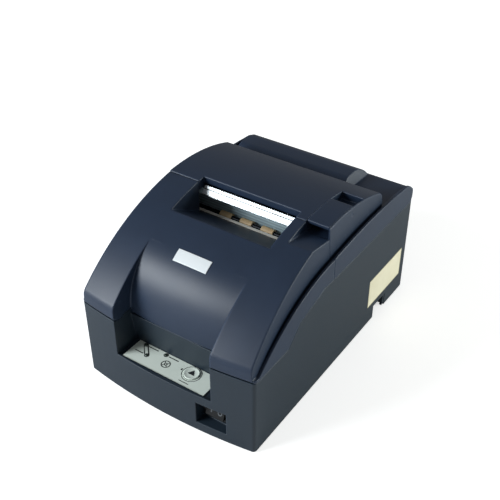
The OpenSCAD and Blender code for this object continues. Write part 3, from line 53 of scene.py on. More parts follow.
# ---------------------------------------------------------------- table and light
# A wide plain white table under an even white surround, lit by a large soft lamp from
# the front left and a weaker one from the rear right.
class Ingredient:
    """One value on its way into a finish; sums and products of values add Math nodes."""

    def __init__(self, tree, socket):
        self.tree, self.socket = tree, socket

    def mix(self, kind, settings, sockets, out=0):
        node = self.tree.nodes.new(kind)
        for name, value in settings.items():
            if name == "stops":
                ramp = node.color_ramp.elements
                while len(ramp) < len(value):
                    ramp.new(0.5)
                for stop, (place, color) in zip(ramp, value):
                    stop.position = place
                    stop.color = color
            else:
                setattr(node, name, value)
        for name, value in sockets.items():
            if isinstance(value, Ingredient):
                self.tree.links.new(value.socket, node.inputs[name])
            else:
                node.inputs[name].default_value = value
        return Ingredient(self.tree, node.outputs[out])

    def sum(self, operation, first, second):
        return self.mix("ShaderNodeMath", {"operation": operation}, {0: first, 1: second})

    def __add__(self, other):
        return self.sum("ADD", self, other)

    def __radd__(self, other):
        return self.sum("ADD", other, self)

    def __sub__(self, other):
        return self.sum("SUBTRACT", self, other)

    def __rsub__(self, other):
        return self.sum("SUBTRACT", other, self)

    def __mul__(self, other):
        return self.sum("MULTIPLY", self, other)

    def __rmul__(self, other):
        return self.sum("MULTIPLY", other, self)

    def __pow__(self, other):
        return self.sum("POWER", self, other)

    def __lt__(self, other):
        return self.sum("LESS_THAN", self, other)

    def __gt__(self, other):
        return self.sum("GREATER_THAN", self, other)

    def grain(self, scale, detail=3.0, roughness=0.55, stretch=(1.0, 1.0, 1.0)):
        where = self.mix("ShaderNodeMapping", {}, {"Vector": self, "Scale": stretch})
        return self.mix("ShaderNodeTexNoise", {}, {"Vector": where, "Scale": scale,
                                                  "Detail": detail, "Roughness": roughness})

    def blend(self, amount, first, second):
        return self.mix("ShaderNodeMix", {"data_type": "RGBA"}, {0: amount, 6: first, 7: second}, out=2)

    def axis(self, name):
        return self.mix("ShaderNodeSeparateXYZ", {}, {"Vector": self}, out="XYZ".index(name))


def new_finish(name, metallic=0.0, coat=0.0):
    """A new material: its shader, and the place on the object that patterns start from."""
    material = bpy.data.materials.new(name)
    material.use_nodes = True
    tree = material.node_tree
    shader = tree.nodes["Principled BSDF"]
    shader.inputs["Metallic"].default_value = metallic
    shader.inputs["Coat Weight"].default_value = coat
    place = Ingredient(tree, tree.nodes.new("ShaderNodeTexCoord").outputs["Object"])
    return material, shader, place


def pour(shader, socket, value):
    """Feeds a socket of the shader."""
    if isinstance(value, Ingredient):
        value.tree.links.new(value.socket, shader.inputs[socket])
    else:
        shader.inputs[socket].default_value = value


def rgb(text):
    """A colour written as hex, for a shader."""
    parts = [int(text[i:i + 2], 16) / 255 for i in (1, 3, 5)]
    return tuple(c / 12.92 if c <= 0.04045 else ((c + 0.055) / 1.055) ** 2.4 for c in parts) + (1.0,)


scene = bpy.context.scene
scene.view_settings.view_transform = "Standard"

table_white, table_shader, table_place = new_finish("table_white")
table_ray = table_white.node_tree.nodes.new("ShaderNodeLightPath")
table_seen = Ingredient(table_white.node_tree, table_ray.outputs["Is Camera Ray"])
pour(table_shader, "Base Color", table_place.blend(table_place.grain(30, 2), rgb("#f0f0f0"), rgb("#f4f4f4")))
east, north = table_place.axis("X"), table_place.axis("Y")
away = table_place.mix("ShaderNodeMapRange", {},
                       {"Value": (east * east + north * north) ** 0.5, "From Min": 0.35, "From Max": 1.1,
                        "To Min": 0.0, "To Max": 1.0})
glow = table_place.blend(away, (0.62, 0.62, 0.62, 1), (0.85, 0.85, 0.85, 1))
pour(table_shader, "Emission Color", table_place.blend(table_seen, (0, 0, 0, 1), glow))
pour(table_shader, "Emission Strength", 1.0)
pour(table_shader, "Roughness", 0.9)
table_mesh = bpy.data.meshes.new("table")
table_bm = bmesh.new()
bmesh.ops.create_grid(table_bm, x_segments=1, y_segments=1, size=6.0)
table_bm.to_mesh(table_mesh)
table_mesh.materials.append(table_white)
table = bpy.data.objects.new("table", table_mesh)
scene.collection.objects.link(table)

surround = bpy.data.worlds.new("surround")
scene.world = surround
surround.use_nodes = True
sky_tree = surround.node_tree
ray = sky_tree.nodes.new("ShaderNodeLightPath")
seen = Ingredient(sky_tree, ray.outputs["Is Camera Ray"])
glossy = Ingredient(sky_tree, ray.outputs["Is Glossy Ray"])
through = Ingredient(sky_tree, ray.outputs["Is Transmission Ray"])
direct = seen.sum("MAXIMUM", seen, through)
strength = 0.22 + direct * 0.78 + glossy * 0.05
sky_tree.nodes["Background"].inputs["Color"].default_value = (1.0, 1.0, 1.0, 1.0)
sky_tree.links.new(strength.socket, sky_tree.nodes["Background"].inputs["Strength"])


def hang_lamp(name, place, aim, size, power, tint):
    lamp = bpy.data.objects.new(name, bpy.data.lights.new(name, "AREA"))
    lamp.data.shape = "DISK"
    lamp.data.size = size
    lamp.data.energy = power
    lamp.data.color = tint
    lamp.location = place
    lamp.rotation_euler = (Vector(place) - Vector(aim)).to_track_quat("Z", "Y").to_euler()
    scene.collection.objects.link(lamp)


hang_lamp("key_lamp", (-0.85, -1.10, 0.66), (0.0, -0.05, 0.06), 0.8, 25.0, (0.92, 0.97, 1.0))
hang_lamp("side_lamp", (1.25, 0.75, 0.30), (0.08, 0.06, 0.05), 0.7, 17.0, (0.95, 1.0, 0.95))


# ---------------------------------------------------------------- lower case
# Injection moulded ABS shell with a fine spark-eroded grain, dark blue-grey.
# A bare cream paper label sits on its right side, ahead of the connector bay.
def moulded(name, dark, light, rough, edge=0.0007, wear_and_highlight=0.35, gloss=0.5, seen_on=None):
    """Moulded plastic; seen_on takes the place and the tone, and gives a tone with its printing."""
    material, shader, place = new_finish(name)
    shader.inputs["Specular IOR Level"].default_value = gloss
    fine = place.grain(1500.0, 2.0)
    coarse = place.grain(38.0, 4.0, 0.6)
    rounded = place.mix("ShaderNodeBevel", {"samples": 8}, {"Radius": edge})
    flat = Ingredient(place.tree, place.tree.nodes.new("ShaderNodeNewGeometry").outputs["Normal"])
    turn = place.mix("ShaderNodeVectorMath", {"operation": "DOT_PRODUCT"}, {0: rounded, 1: flat}, out="Value")
    # Edges are painted paler here, partly as wear and partly as a painted highlight where the rounded edges
    # catch the light.
    wear_and_highlight_mask = place.mix("ShaderNodeMapRange", {}, {"Value": turn, "From Min": 0.99, "From Max": 0.80,
                                                  "To Min": 0.0, "To Max": wear_and_highlight})
    wear_and_highlight_mask = wear_and_highlight_mask * (0.5 + coarse)
    tone = place.blend(coarse, dark, light)
    worn_and_lit_tone = tuple(min(1.0, 2.2 * c + 0.01) for c in light[:3]) + (1.0,)
    tone = place.blend(wear_and_highlight_mask, tone, worn_and_lit_tone)
    if seen_on:
        tone = seen_on(place, tone)
    pour(shader, "Base Color", tone)
    pour(shader, "Roughness", rough + 0.10 * (fine - 0.5) + 0.06 * (coarse - 0.5))
    pour(shader, "Normal", place.mix("ShaderNodeBump", {}, {"Strength": 0.5, "Distance": 0.00003,
                                                            "Height": fine, "Normal": rounded}))
    return material


def dress(material, *names):
    for name in names:
        nodes[name].data.materials.clear()
        nodes[name].data.materials.append(material)


def into_scene(name, bm, finish, body, sharp=35.0, even=False, scale=0.001, stands_for=()):
    """Turns a finished bmesh, drawn in millimetres, into a piece that rides a body."""
    bmesh.ops.scale(bm, vec=(scale, scale, scale), verts=bm.verts)
    for face in bm.faces:
        face.smooth = True
    for edge in bm.edges:
        edge.smooth = len(edge.link_faces) == 2 and edge.calc_face_angle(0.0) < math.radians(sharp)
    mesh = bpy.data.meshes.new(name)
    bm.to_mesh(mesh)
    bm.free()
    mesh.materials.append(finish)
    piece = bpy.data.objects.new(name, mesh)
    scene.collection.objects.link(piece)
    if even:
        weighted = piece.modifiers.new("even_shading", "WEIGHTED_NORMAL")
        weighted.keep_sharp = True
        weighted.weight = 100
    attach(piece, body)
    if stands_for:
        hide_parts(*stands_for)
    return piece


def smoothed_shell(name, node, finish, body, sharp=24.0):
    """The node's own shape as one joined skin, so that light runs smoothly over its curves."""
    bm = bmesh.new()
    bm.from_mesh(nodes[node].data)
    bmesh.ops.remove_doubles(bm, verts=bm.verts, dist=0.000002)
    bmesh.ops.dissolve_degenerate(bm, edges=bm.edges, dist=0.000001)
    return into_scene(name, bm, finish, body, sharp, even=True, scale=1.0, stands_for=(node,))


def side_label(place, tone):
    x, y, z = place.axis("X"), place.axis("Y"), place.axis("Z")
    paper = (x > 0.0797) * (y > 0.0545) * (y < 0.1142) * (z > 0.0195) * (z < 0.0482)
    rim = (y > 0.0552) * (y < 0.1135) * (z > 0.0202) * (z < 0.0475)
    aged = place.blend(place.grain(60.0, 4.0, 0.6), rgb("#d8d1b4"), rgb("#f0ead2"))
    return place.blend(paper, tone, place.blend(rim, rgb("#a9a385"), aged))


case_finish = moulded("case_plastic", rgb("#1a2631"), rgb("#202d39"), 0.46, edge=0.0012, gloss=0.4,
                       seen_on=side_label)
smoothed_shell("case_shell", "lower_case", case_finish, "case")

# ---------------------------------------------------------------- covers
# Front and rear cover and the lever's cap, from the same batch of ABS, slightly bluer.
# Their edges are rounded by some two millimetres and painted paler, partly as wear and partly as a painted
# highlight.
cover_finish = moulded("cover_plastic", rgb("#1c293c"), rgb("#223147"), 0.43, edge=0.0020, gloss=0.4)
smoothed_shell("front_shell", "front_cover", cover_finish, "front_cover")
smoothed_shell("rear_shell", "rear_cover", cover_finish, "rear_cover")
smoothed_shell("lever_cap", "cover_lever", cover_finish, "cover_lever")

badge_finish = moulded("badge_plastic", rgb("#dfe6ea"), rgb("#eef2f4"), 0.25, edge=0.0003, wear_and_highlight=0.0)
dress(badge_finish, "name_badge")


# ---------------------------------------------------------------- control panel
# Pale satin overlay with three lamps, a ring round the feed button and plain rules.
# The marks are screen printed in dark ink, a few hundredths of a millimetre thick.
def pressed(bm, outline, depth):
    """A flat outline drawn out along a direction."""
    face = bm.faces.new([bm.verts.new(point) for point in outline])
    drawn = bmesh.ops.extrude_face_region(bm, geom=[face])
    moved = [item for item in drawn["geom"] if isinstance(item, bmesh.types.BMVert)]
    bmesh.ops.translate(bm, vec=depth, verts=moved)
    bmesh.ops.recalc_face_normals(bm, faces=bm.faces)


def add_part(bm, part):
    """Adds one bmesh to another and frees it."""
    carrier = bpy.data.meshes.new("carrier")
    part.to_mesh(carrier)
    part.free()
    bm.from_mesh(carrier)
    bpy.data.meshes.remove(carrier)


def turned(bm, at, axis, profile, steps):
    """A profile of (radius, height) pairs spun round an axis through a point."""
    along = Vector(axis).normalized()
    across = along.orthogonal().normalized()
    part = bmesh.new()
    line = [part.verts.new(Vector(at) + across * r + along * h) for r, h in profile]
    edges = [part.edges.new(pair) for pair in zip(line, line[1:])]
    if profile[0][0]:
        edges.append(part.edges.new((line[-1], line[0])))
    bmesh.ops.spin(part, geom=line + edges, cent=at, axis=along, angle=2 * math.pi, steps=steps,
                   use_merge=True)
    bmesh.ops.remove_doubles(part, verts=part.verts, dist=0.0005)
    bmesh.ops.recalc_face_normals(part, faces=part.faces)
    add_part(bm, part)


def block(bm, low, high, edge=0.0):
    """A box between two corners with its edges rounded."""
    made = bmesh.ops.create_cube(bm, size=1.0)["verts"]
    low, high = Vector(low), Vector(high)
    bmesh.ops.scale(bm, vec=high - low, verts=made)
    bmesh.ops.translate(bm, vec=(low + high) / 2, verts=made)
    if edge:
        rim = list({e for v in made for e in v.link_edges})
        bmesh.ops.bevel(bm, geom=rim, offset=edge, offset_type="OFFSET", affect="EDGES", segments=2,
                        profile=0.5, material=-1)


panel_finish = moulded("panel_plastic", rgb("#dbe6dc"), rgb("#eaf3ea"), 0.42, edge=0.0003, wear_and_highlight=0.1)
dress(panel_finish, "control_panel")
print_ink = moulded("print_ink", rgb("#15181b"), rgb("#23272b"), 0.5, edge=0.0001, wear_and_highlight=0.0)

up = (0, 0, 1)
panel_z = 37.0
ink = 0.05
ink_up = (0, 0, ink)
lamp_places = [(-33.4, -100.8), (-25.7, -109.8), (-13.3, -101.3)]
sign_x, sign_y = -7.4, -109.3
button_x, button_y = 15.5, -106.7


def printed_ring(bm, x, y, inner, outer, steps):
    """A ring of ink on the panel."""
    turned(bm, (x, y, panel_z), up, [(inner, 0), (inner, ink), (outer, ink), (outer, 0)], steps)


marks = bmesh.new()
pressed(marks, [(-34.9, -102.2, panel_z), (-34.0, -102.6, panel_z), (-27.6, -109.4, panel_z),
                (-28.3, -110.0, panel_z)], ink_up)
pressed(marks, [(-31.6, -100.4, panel_z), (-24.0, -108.5, panel_z), (-24.8, -109.0, panel_z),
                (-32.2, -101.2, panel_z)], ink_up)
for lamp_x, lamp_y in lamp_places:
    printed_ring(marks, lamp_x, lamp_y, 1.5, 2.1, 24)
printed_ring(marks, sign_x, sign_y, 3.1, 3.9, 32)
printed_ring(marks, sign_x, sign_y, 0.7, 1.5, 20)
spoke_in, spoke_out, spoke_half = 1.4, 3.2, 0.3
for turn in range(4):
    c, s = math.cos(math.radians(45 + 90 * turn)), math.sin(math.radians(45 + 90 * turn))
    corners = [(spoke_in, spoke_half), (spoke_in, -spoke_half), (spoke_out, -spoke_half),
               (spoke_out, spoke_half)]
    pressed(marks, [(sign_x + r * c - w * s, sign_y + r * s + w * c, panel_z) for r, w in corners], ink_up)
for x0, x1, y in [(-30.5, -21.0, -101.2), (-10.5, -1.0, -101.6), (-37.5, -29.5, -109.6)]:
    block(marks, (x0, y - 0.45, panel_z), (x1, y + 0.45, panel_z + ink))
printed_ring(marks, button_x, button_y, 7.6, 8.1, 48)
block(marks, (5.4, -107.6, panel_z), (6.8, -105.8, panel_z + ink))
block(marks, (11.0, -117.2, panel_z), (20.0, -116.6, panel_z + ink))
into_scene("panel_print", marks, print_ink, "case")

# ---------------------------------------------------------------- lamps
# Three light guides of smoked clear plastic under the panel's holes.
# Their tips are domed a little over the panel.
lens_finish = moulded("lamp_plastic", rgb("#1d2a24"), rgb("#2a3a30"), 0.12, edge=0.0003, wear_and_highlight=0.0)
dress(lens_finish, "indicator_lamps")
lenses = bmesh.new()
for lamp_x, lamp_y in lamp_places:
    turned(lenses, (lamp_x, lamp_y, 37.1), up,
           [(0, 0.75), (0.5, 0.68), (0.95, 0.45), (1.25, 0.15), (1.3, 0), (0, 0)], 24)
into_scene("lamp_lenses", lenses, lens_finish, "case")

# ---------------------------------------------------------------- feed button
# A round key of the panel's plastic with a dished top and a rounded rim on a stem.
# A black triangle is printed on it, for feeding the paper.
button = bmesh.new()
turned(button, (button_x, button_y, 0), up,
       [(0, 37.75), (3.0, 37.78), (4.9, 37.9), (5.5, 38.15), (5.85, 38.2), (6.12, 38.05), (6.2, 37.7),
        (6.2, 37.1), (3.0, 37.1), (3.0, 32.3), (0, 32.3)], 64)
into_scene("button_key", button, panel_finish, "feed_button", stands_for=("feed_button",))
arrow = bmesh.new()
arrow_z = 37.86
pressed(arrow, [(12.4, -108.1, arrow_z), (18.6, -108.1, arrow_z), (button_x, -103.0, arrow_z)], ink_up)
into_scene("button_arrow", arrow, print_ink, "feed_button")


# ---------------------------------------------------------------- power switch
# Black nylon body snapped into the recess behind a narrow bezel.
# The rocker has a bar and a ring printed on it.
def switch_marks(place, tone):
    x, z, y = place.axis("X"), place.axis("Z"), place.axis("Y")
    front = y < -0.1120
    bar = (x > 0.0399) * (x < 0.0407) * (z > 0.0200) * (z < 0.0240)
    east, north = x - 0.0478, z - 0.0220
    away = (east * east + north * north) ** 0.5
    ring = (away > 0.0013) * (away < 0.0020)
    return place.blend(front * bar.sum("MAXIMUM", bar, ring), tone, rgb("#5d6267"))


black_finish = moulded("black_plastic", rgb("#0a0b0d"), rgb("#121417"), 0.45, edge=0.0003)
rocker_finish = moulded("rocker_plastic", rgb("#0c0d0f"), rgb("#121416"), 0.45, edge=0.0003, wear_and_highlight=0.0,
                        gloss=0.25, seen_on=switch_marks)
dress(rocker_finish, "power_rocker")
dress(black_finish, "power_switch_body", "drawer_socket", "power_socket", "paper_guide", "paper_tray",
      "ribbon_cassette", "carriage")
bezel = bmesh.new()
bezel_x = [31.9, 34.4, 53.2, 55.7]
bezel_z = [13.3, 15.6, 27.6, 29.6]
bezel_front, bezel_back = -114.9, -114.4
for z0, z1 in (bezel_z[:2], bezel_z[2:]):
    block(bezel, (bezel_x[0], bezel_front, z0), (bezel_x[3], bezel_back, z1), 0.15)
for x0, x1 in (bezel_x[:2], bezel_x[2:]):
    block(bezel, (x0, bezel_front, bezel_z[1]), (x1, bezel_back, bezel_z[2]), 0.15)
into_scene("switch_bezel", bezel, black_finish, "case")

# ---------------------------------------------------------------- paper path
# Bright tear bar with dark strips painted as shade in its groove and along its lower edge,
# the grey-blue plate behind the exit rollers with bands painted as light and shade on its
# pressed lines, and the tan exit rollers on a blackened steel shaft over a pale lip.
def metal(name, dark, light, rough, stretch=(1.0, 1.0, 1.0)):
    material, shader, place = new_finish(name, metallic=1.0)
    lines = place.grain(400.0, 3.0, 0.6, stretch)
    cloud = place.grain(25.0, 3.0)
    pour(shader, "Base Color", place.blend(cloud, dark, light))
    pour(shader, "Roughness", rough + 0.2 * (lines - 0.5))
    rounded = place.mix("ShaderNodeBevel", {"samples": 4}, {"Radius": 0.0002})
    pour(shader, "Normal", place.mix("ShaderNodeBump", {}, {"Strength": 0.3, "Distance": 0.00003,
                                                            "Height": lines, "Normal": rounded}))
    return material


def pressed_line_light_and_shade(place, tone):
    # Lighter and darker bands painted across the plate, as the light and shade on its pressed lines.
    painted_line_shading = place.sum("SINE", place.axis("Z") * 2400.0, 0.0)
    return place.blend(0.5 + painted_line_shading * 0.5, tone, rgb("#a9bfc6"))


drawn = (0.03, 1.0, 1.0)
blade_finish = metal("blade_steel", rgb("#c3cbd0"), rgb("#dce2e5"), 0.42, drawn)
dress(blade_finish, "tear_bar")
blade_half, blade_tilt, blade_foot = 42.9, math.radians(50), (0, -10.0, 125.0)
# Two dark strips painted as shade: one lies in the blade's groove, one along its lower edge.
groove_shade_strips = bmesh.new()
block(groove_shade_strips, (-blade_half, 4.62, 1.0), (blade_half, 5.28, 1.52))
block(groove_shade_strips, (-blade_half, 0.15, 1.55), (blade_half, 0.5, 1.64))
bmesh.ops.rotate(groove_shade_strips, cent=(0, 0, 0), matrix=Matrix.Rotation(blade_tilt, 3, "X"), verts=groove_shade_strips.verts)
bmesh.ops.translate(groove_shade_strips, vec=blade_foot, verts=groove_shade_strips.verts)
into_scene("tear_bar_groove_shade", groove_shade_strips, print_ink, "case")
chute_finish = moulded("chute_paint", rgb("#7f919c"), rgb("#94a6b0"), 0.4, edge=0.0003, wear_and_highlight=0.1,
                       seen_on=pressed_line_light_and_shade)
dress(chute_finish, "paper_chute")
roller_finish = moulded("roller_plastic", rgb("#c4a377"), rgb("#e2c79c"), 0.5, edge=0.0005, wear_and_highlight=0.1)
dress(roller_finish, "exit_rollers")
sheet_finish = metal("sheet_steel", rgb("#8f9498"), rgb("#b2b6b9"), 0.38, (0.05, 1.0, 1.0))
dress(sheet_finish, "left_frame", "right_frame", "mechanism_base", "guide_rail", "cassette_shelf",
      "interface_plate")
lip_finish = moulded("exit_lip", rgb("#e9e4d8"), rgb("#f6f2ea"), 0.4, edge=0.0003, wear_and_highlight=0.0)
dress(lip_finish, "exit_bar")
black_steel = metal("black_steel", rgb("#1b1c1e"), rgb("#2a2c2f"), 0.35, drawn)
dress(black_steel, "exit_shaft")
bright_finish = metal("bright_steel", rgb("#b9bdc1"), rgb("#d2d5d8"), 0.22, drawn)
dress(bright_finish, "case_screws", "hinge_pins", "lever_pin", "carriage_shaft", "idler_stub",
      "frame_screws", "interface_screws", "idler_post")
dark_bar_finish = moulded("dark_bar", rgb("#3c3f42"), rgb("#4a4d50"), 0.45, edge=0.0003)
dress(dark_bar_finish, "platen_bar")

# ---------------------------------------------------------------- rollers, gears, belt
# Rubber feed and pinch rollers, acetal gears and pulleys and a moulded timing belt.
# The small levers and knobs, the motors and the boards get their finishes here too.
rubber_finish = moulded("belt_rubber", rgb("#131313"), rgb("#1f1f1f"), 0.8, edge=0.0004, wear_and_highlight=0.1)
dress(rubber_finish, "rubber_feet", "timing_belt", "feed_roller", "pinch_roller")
gear_finish = moulded("gear_plastic", rgb("#d6d1bf"), rgb("#e6e2d4"), 0.4, edge=0.0002, wear_and_highlight=0.05)
dress(gear_finish, "feed_gear", "idler_gear", "exit_gear", "motor_pulley", "idler_pulley")
brass_finish = metal("brass_parts", rgb("#b08c3f"), rgb("#cfae62"), 0.3)
dress(brass_finish, "switch_terminals", "motor_pinion")
knob_finish = moulded("knob_plastic", rgb("#2f5f80"), rgb("#3b6f8f"), 0.4, edge=0.0003, wear_and_highlight=0.1)
dress(knob_finish, "ribbon_knob")
lever_finish = moulded("lever_plastic", rgb("#2f5848"), rgb("#3d6b57"), 0.4, edge=0.0003, wear_and_highlight=0.1)
dress(lever_finish, "near_end_lever")
ink_finish = moulded("ink_fabric", rgb("#0c0c10"), rgb("#16161c"), 0.7, edge=0.0002, wear_and_highlight=0.0)
dress(ink_finish, "ink_ribbon")
motor_finish = metal("motor_case", rgb("#9da1a3"), rgb("#b8bcbe"), 0.35)
dress(motor_finish, "carriage_motor", "feed_motor", "interface_socket")
head_finish = metal("head_aluminium", rgb("#3d4042"), rgb("#55585b"), 0.5)
dress(head_finish, "print_head")
board_finish = moulded("circuit_board", rgb("#1f5a30"), rgb("#2f6b3c"), 0.3, edge=0.0002, wear_and_highlight=0.0)
dress(board_finish, "main_board", "panel_board", "interface_board")

# ---------------------------------------------------------------- cable hook
# A small hook of the case's plastic, moulded into the cable notch in the right wall.
# It keeps the cables from slipping out.
hook_x, hook_width = 77.8, 2.0
hook_outline = [(86.9, 13.2), (84.9, 13.2), (84.9, 5.2), (83.3, 4.2), (83.9, 2.9), (85.6, 3.3), (86.9, 5.2)]
hook = bmesh.new()
pressed(hook, [(hook_x, y, z) for y, z in hook_outline], (hook_width, 0, 0))
into_scene("cable_hook", hook, case_finish, "case")


# ---------------------------------------------------------------- screw heads and shaft clips
# Dark crossed bars painted as the shade in the cross recesses of the case, frame and
# plate screws, and the black spring clips that hold the shafts in the side frames.
def cross_recess_shade(bm, at, axis, size, width=0.42):
    """Two dark bars laid crosswise a little over a screw head, painted as the shade in its cross recess."""
    turn = Vector((0, 0, 1)).rotation_difference(Vector(axis)).to_matrix()
    part = bmesh.new()
    sunk, proud = -0.25, 0.03
    block(part, (-size, -width / 2, sunk), (size, width / 2, proud))
    block(part, (-width / 2, -size, sunk), (width / 2, size, proud))
    bmesh.ops.rotate(part, cent=(0, 0, 0), matrix=turn, verts=part.verts)
    bmesh.ops.translate(part, vec=at, verts=part.verts)
    add_part(bm, part)


recess_shade_bars = bmesh.new()
for side in (-1, 1):
    for y in (-90.0, 46.0):
        cross_recess_shade(recess_shade_bars, (68.0 * side, y, 1.5), (0, 0, -1), 1.9)
    for y, z in [(-72.0, 14.0), (12.0, 14.0), (-78.0, 58.0)]:
        cross_recess_shade(recess_shade_bars, (69.2 * side, y, z), (side, 0, 0), 1.6)
    cross_recess_shade(recess_shade_bars, (55.0 * side, 67.2, 18.0), (0, 1, 0), 1.9)
into_scene("screw_recess_shade", recess_shade_bars, print_ink, "case")



def clip_ring(inner, outer, thick):
    """Profile of a flat ring."""
    return [(inner, 0), (outer, 0), (outer, thick), (inner, thick)]


clips = bmesh.new()
for side in (-1, 1):
    turned(clips, (67.75 * side, -22.0, 52.0), (side, 0, 0), clip_ring(4.02, 5.6, 0.7), 36)
into_scene("shaft_clips", clips, black_steel, "case")
feed_clip = bmesh.new()
turned(feed_clip, (-67.8, 8.2, 54.0), (-1, 0, 0), clip_ring(3.02, 4.4, 0.6), 32)
into_scene("feed_roller_clip", feed_clip, black_steel, "feed_roller")


# ---------------------------------------------------------------- lever spring
# A torsion spring of steel wire, wound round the lever's pin.
# It pushes the lever back down.
def wire(name, points, radius, finish, body):
    """A round wire through points in millimetres."""
    curve = bpy.data.curves.new(name, "CURVE")
    curve.dimensions = "3D"
    spline = curve.splines.new("NURBS")
    spline.points.add(len(points) - 1)
    for knot, point in zip(spline.points, points):
        knot.co = (point[0] * 0.001, point[1] * 0.001, point[2] * 0.001, 1.0)
    spline.order_u = 3
    spline.use_endpoint_u = True
    curve.bevel_depth = radius * 0.001
    curve.bevel_resolution = 3
    curve.use_fill_caps = True
    curve.materials.append(finish)
    piece = bpy.data.objects.new(name, curve)
    scene.collection.objects.link(piece)
    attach(piece, body)


def coil(centre, axis, radius, length, turns, per_turn=12):
    """Points along a helix."""
    along = Vector(axis).normalized()
    first = along.orthogonal().normalized()
    second = along.cross(first)
    points = []
    for step in range(turns * per_turn + 1):
        a = 2 * math.pi * step / per_turn
        points.append(tuple(Vector(centre) + along * (length * step / (turns * per_turn))
                            + first * (radius * math.cos(a)) + second * (radius * math.sin(a))))
    return points


wire("lever_spring", coil((59.6, 22.0, 131.5), (1, 0, 0), radius=1.75, length=7.6, turns=9), 0.3,
     bright_finish, "rear_cover")

# ---------------------------------------------------------------- motors
# Rolled steel cans with pressed end bells, one for the carriage and one for the paper.
# Four coloured leads run from each to the main board.
bells = bmesh.new()
motor_x, motor_y = -46.0, -66.0
for z in (27.0, 38.6):
    turned(bells, (motor_x, motor_y, z), up, [(13.9, 0), (14.25, 0.25), (14.25, 1.75), (13.9, 2.0)], 48)
turned(bells, (motor_x, motor_y, 41.55), up, [(5.2, 0), (5.2, 0.9), (8.6, 0.9), (9.0, 0.5), (9.0, 0)], 40)
for x in (49.2, 63.6):
    turned(bells, (x, 25.2, 43.4), (1, 0, 0), [(11.9, 0), (12.2, 0.25), (12.2, 1.35), (11.9, 1.6)], 48)
into_scene("motor_bells", bells, motor_finish, "case")
lead_colors = [("red", "#8c1f1c"), ("blue", "#1f3f8c"), ("yellow", "#b89a22"), ("white", "#cfcfc8")]
lead_pitch, lead_radius = 1.7, 0.55
for place, (tone, code) in enumerate(lead_colors):
    skin = moulded("lead_" + tone, rgb(code), rgb(code), 0.45, edge=0.0001, wear_and_highlight=0.0)
    x = -43.5 + lead_pitch * place
    wire("carriage_motor_lead_" + tone,
         [(x, -79.4, 31.0), (x, -85.0, 31.0), (x, -90.0, 29.0), (x, -90.5, 22.0), (x, -89.0, 15.5),
          (x, -84.0, 14.0), (x, -79.0, 14.0)],
         lead_radius, skin, "case")
    y = 21.0 + lead_pitch * place
    wire("feed_motor_lead_" + tone,
         [(48.9, y, 34.2), (43.0, y, 33.4), (38.0, y, 28.0), (36.5, y - 3.0, 20.0), (36.0, y - 7.0, 15.8),
          (36.0, y - 9.0, 13.4)],
         lead_radius, skin, "case")

# ---------------------------------------------------------------- timing belt teeth
# Square rubber teeth on the inner faces of the belt's two straight runs.
# They lie about two millimetres apart and stop short of the pulleys.
tooth_pitch, tooth_half = 2.02, 0.45
teeth = bmesh.new()
for step in range(42):
    x = -41.4 + step * tooth_pitch
    for y in (-60.2, -72.2):
        block(teeth, (x - tooth_half, y, 48.3), (x + tooth_half, y + 0.4, 51.7))
into_scene("belt_teeth", teeth, rubber_finish, "case")

# ---------------------------------------------------------------- main board
# Chips with tinned legs, can capacitors in shrunk sleeves, a relay, a pin header, a
# crystal and small resistors in rows, all soldered to the green board.
tin_finish = metal("tinned_legs", rgb("#b4b8ba"), rgb("#cdd1d3"), 0.3)
top = 11.5
leg_half, leg_height = 0.22, 0.5
chips = bmesh.new()
block(chips, (-30, -40, top + 0.2), (-8, -18, top + 2.4), 0.25)
block(chips, (10, -36, top + 0.2), (24, -24, top + 2.0), 0.2)
block(chips, (-50, 10, top), (-38, 34, top + 6.0), 0.4)
block(chips, (16, -70, top), (46, -64, top + 2.5), 0.2)
block(chips, (-12, 4, top), (2, 10, top + 1.9), 0.2)
into_scene("board_chips", chips, black_finish, "case", stands_for=("board_parts",))
legs = bmesh.new()
for step in range(17):
    y = -38.2 + step * 1.15
    for x0 in (-31.6, -8.2):
        block(legs, (x0, y - leg_half, top), (x0 + 1.8, y + leg_half, top + leg_height))
    x = -28.2 + step * 1.15
    for y0 in (-41.6, -18.2):
        block(legs, (x - leg_half, y0, top), (x + leg_half, y0 + 1.8, top + leg_height))
for step in range(10):
    x = 11.3 + step * 1.27
    for y0 in (-37.6, -24.2):
        block(legs, (x - leg_half, y0, top), (x + leg_half, y0 + 1.8, top + leg_height))
for step in range(11):
    x = 18.3 + step * 2.54
    block(legs, (x - 0.32, -67.3, top + 2.4), (x + 0.32, -66.7, top + 6.0), 0.1)
for step in range(5):
    x = -11.2 + step * 2.6
    for y0 in (2.6, 9.8):
        block(legs, (x, y0, top), (x + 0.6, y0 + 1.6, top + leg_height))
sleeve_finish = moulded("capacitor_sleeve", rgb("#20304c"), rgb("#2a3d5e"), 0.3, edge=0.0002, wear_and_highlight=0.0)
sleeve_profile = [(0, 0), (4.4, 0), (4.5, 0.3), (4.5, 1.2), (4.15, 1.7), (4.5, 2.2), (4.5, 9.6), (4.3, 9.95),
                  (3.9, 9.98), (3.9, 9.8), (0, 9.8)]
capacitor_places = [(-44, -60), (-30, -60), (34, 6), (44, 20)]
sleeves, tops = bmesh.new(), bmesh.new()
for x, y in capacitor_places:
    turned(sleeves, (x, y, top), up, sleeve_profile, 32)
    turned(tops, (x, y, top), up, [(0, 9.86), (3.8, 9.86), (3.8, 9.7), (0, 9.7)], 32)
into_scene("capacitor_sleeves", sleeves, sleeve_finish, "case")
into_scene("capacitor_tops", tops, tin_finish, "case")
score_shades, small_parts, crystal = bmesh.new(), bmesh.new(), bmesh.new()
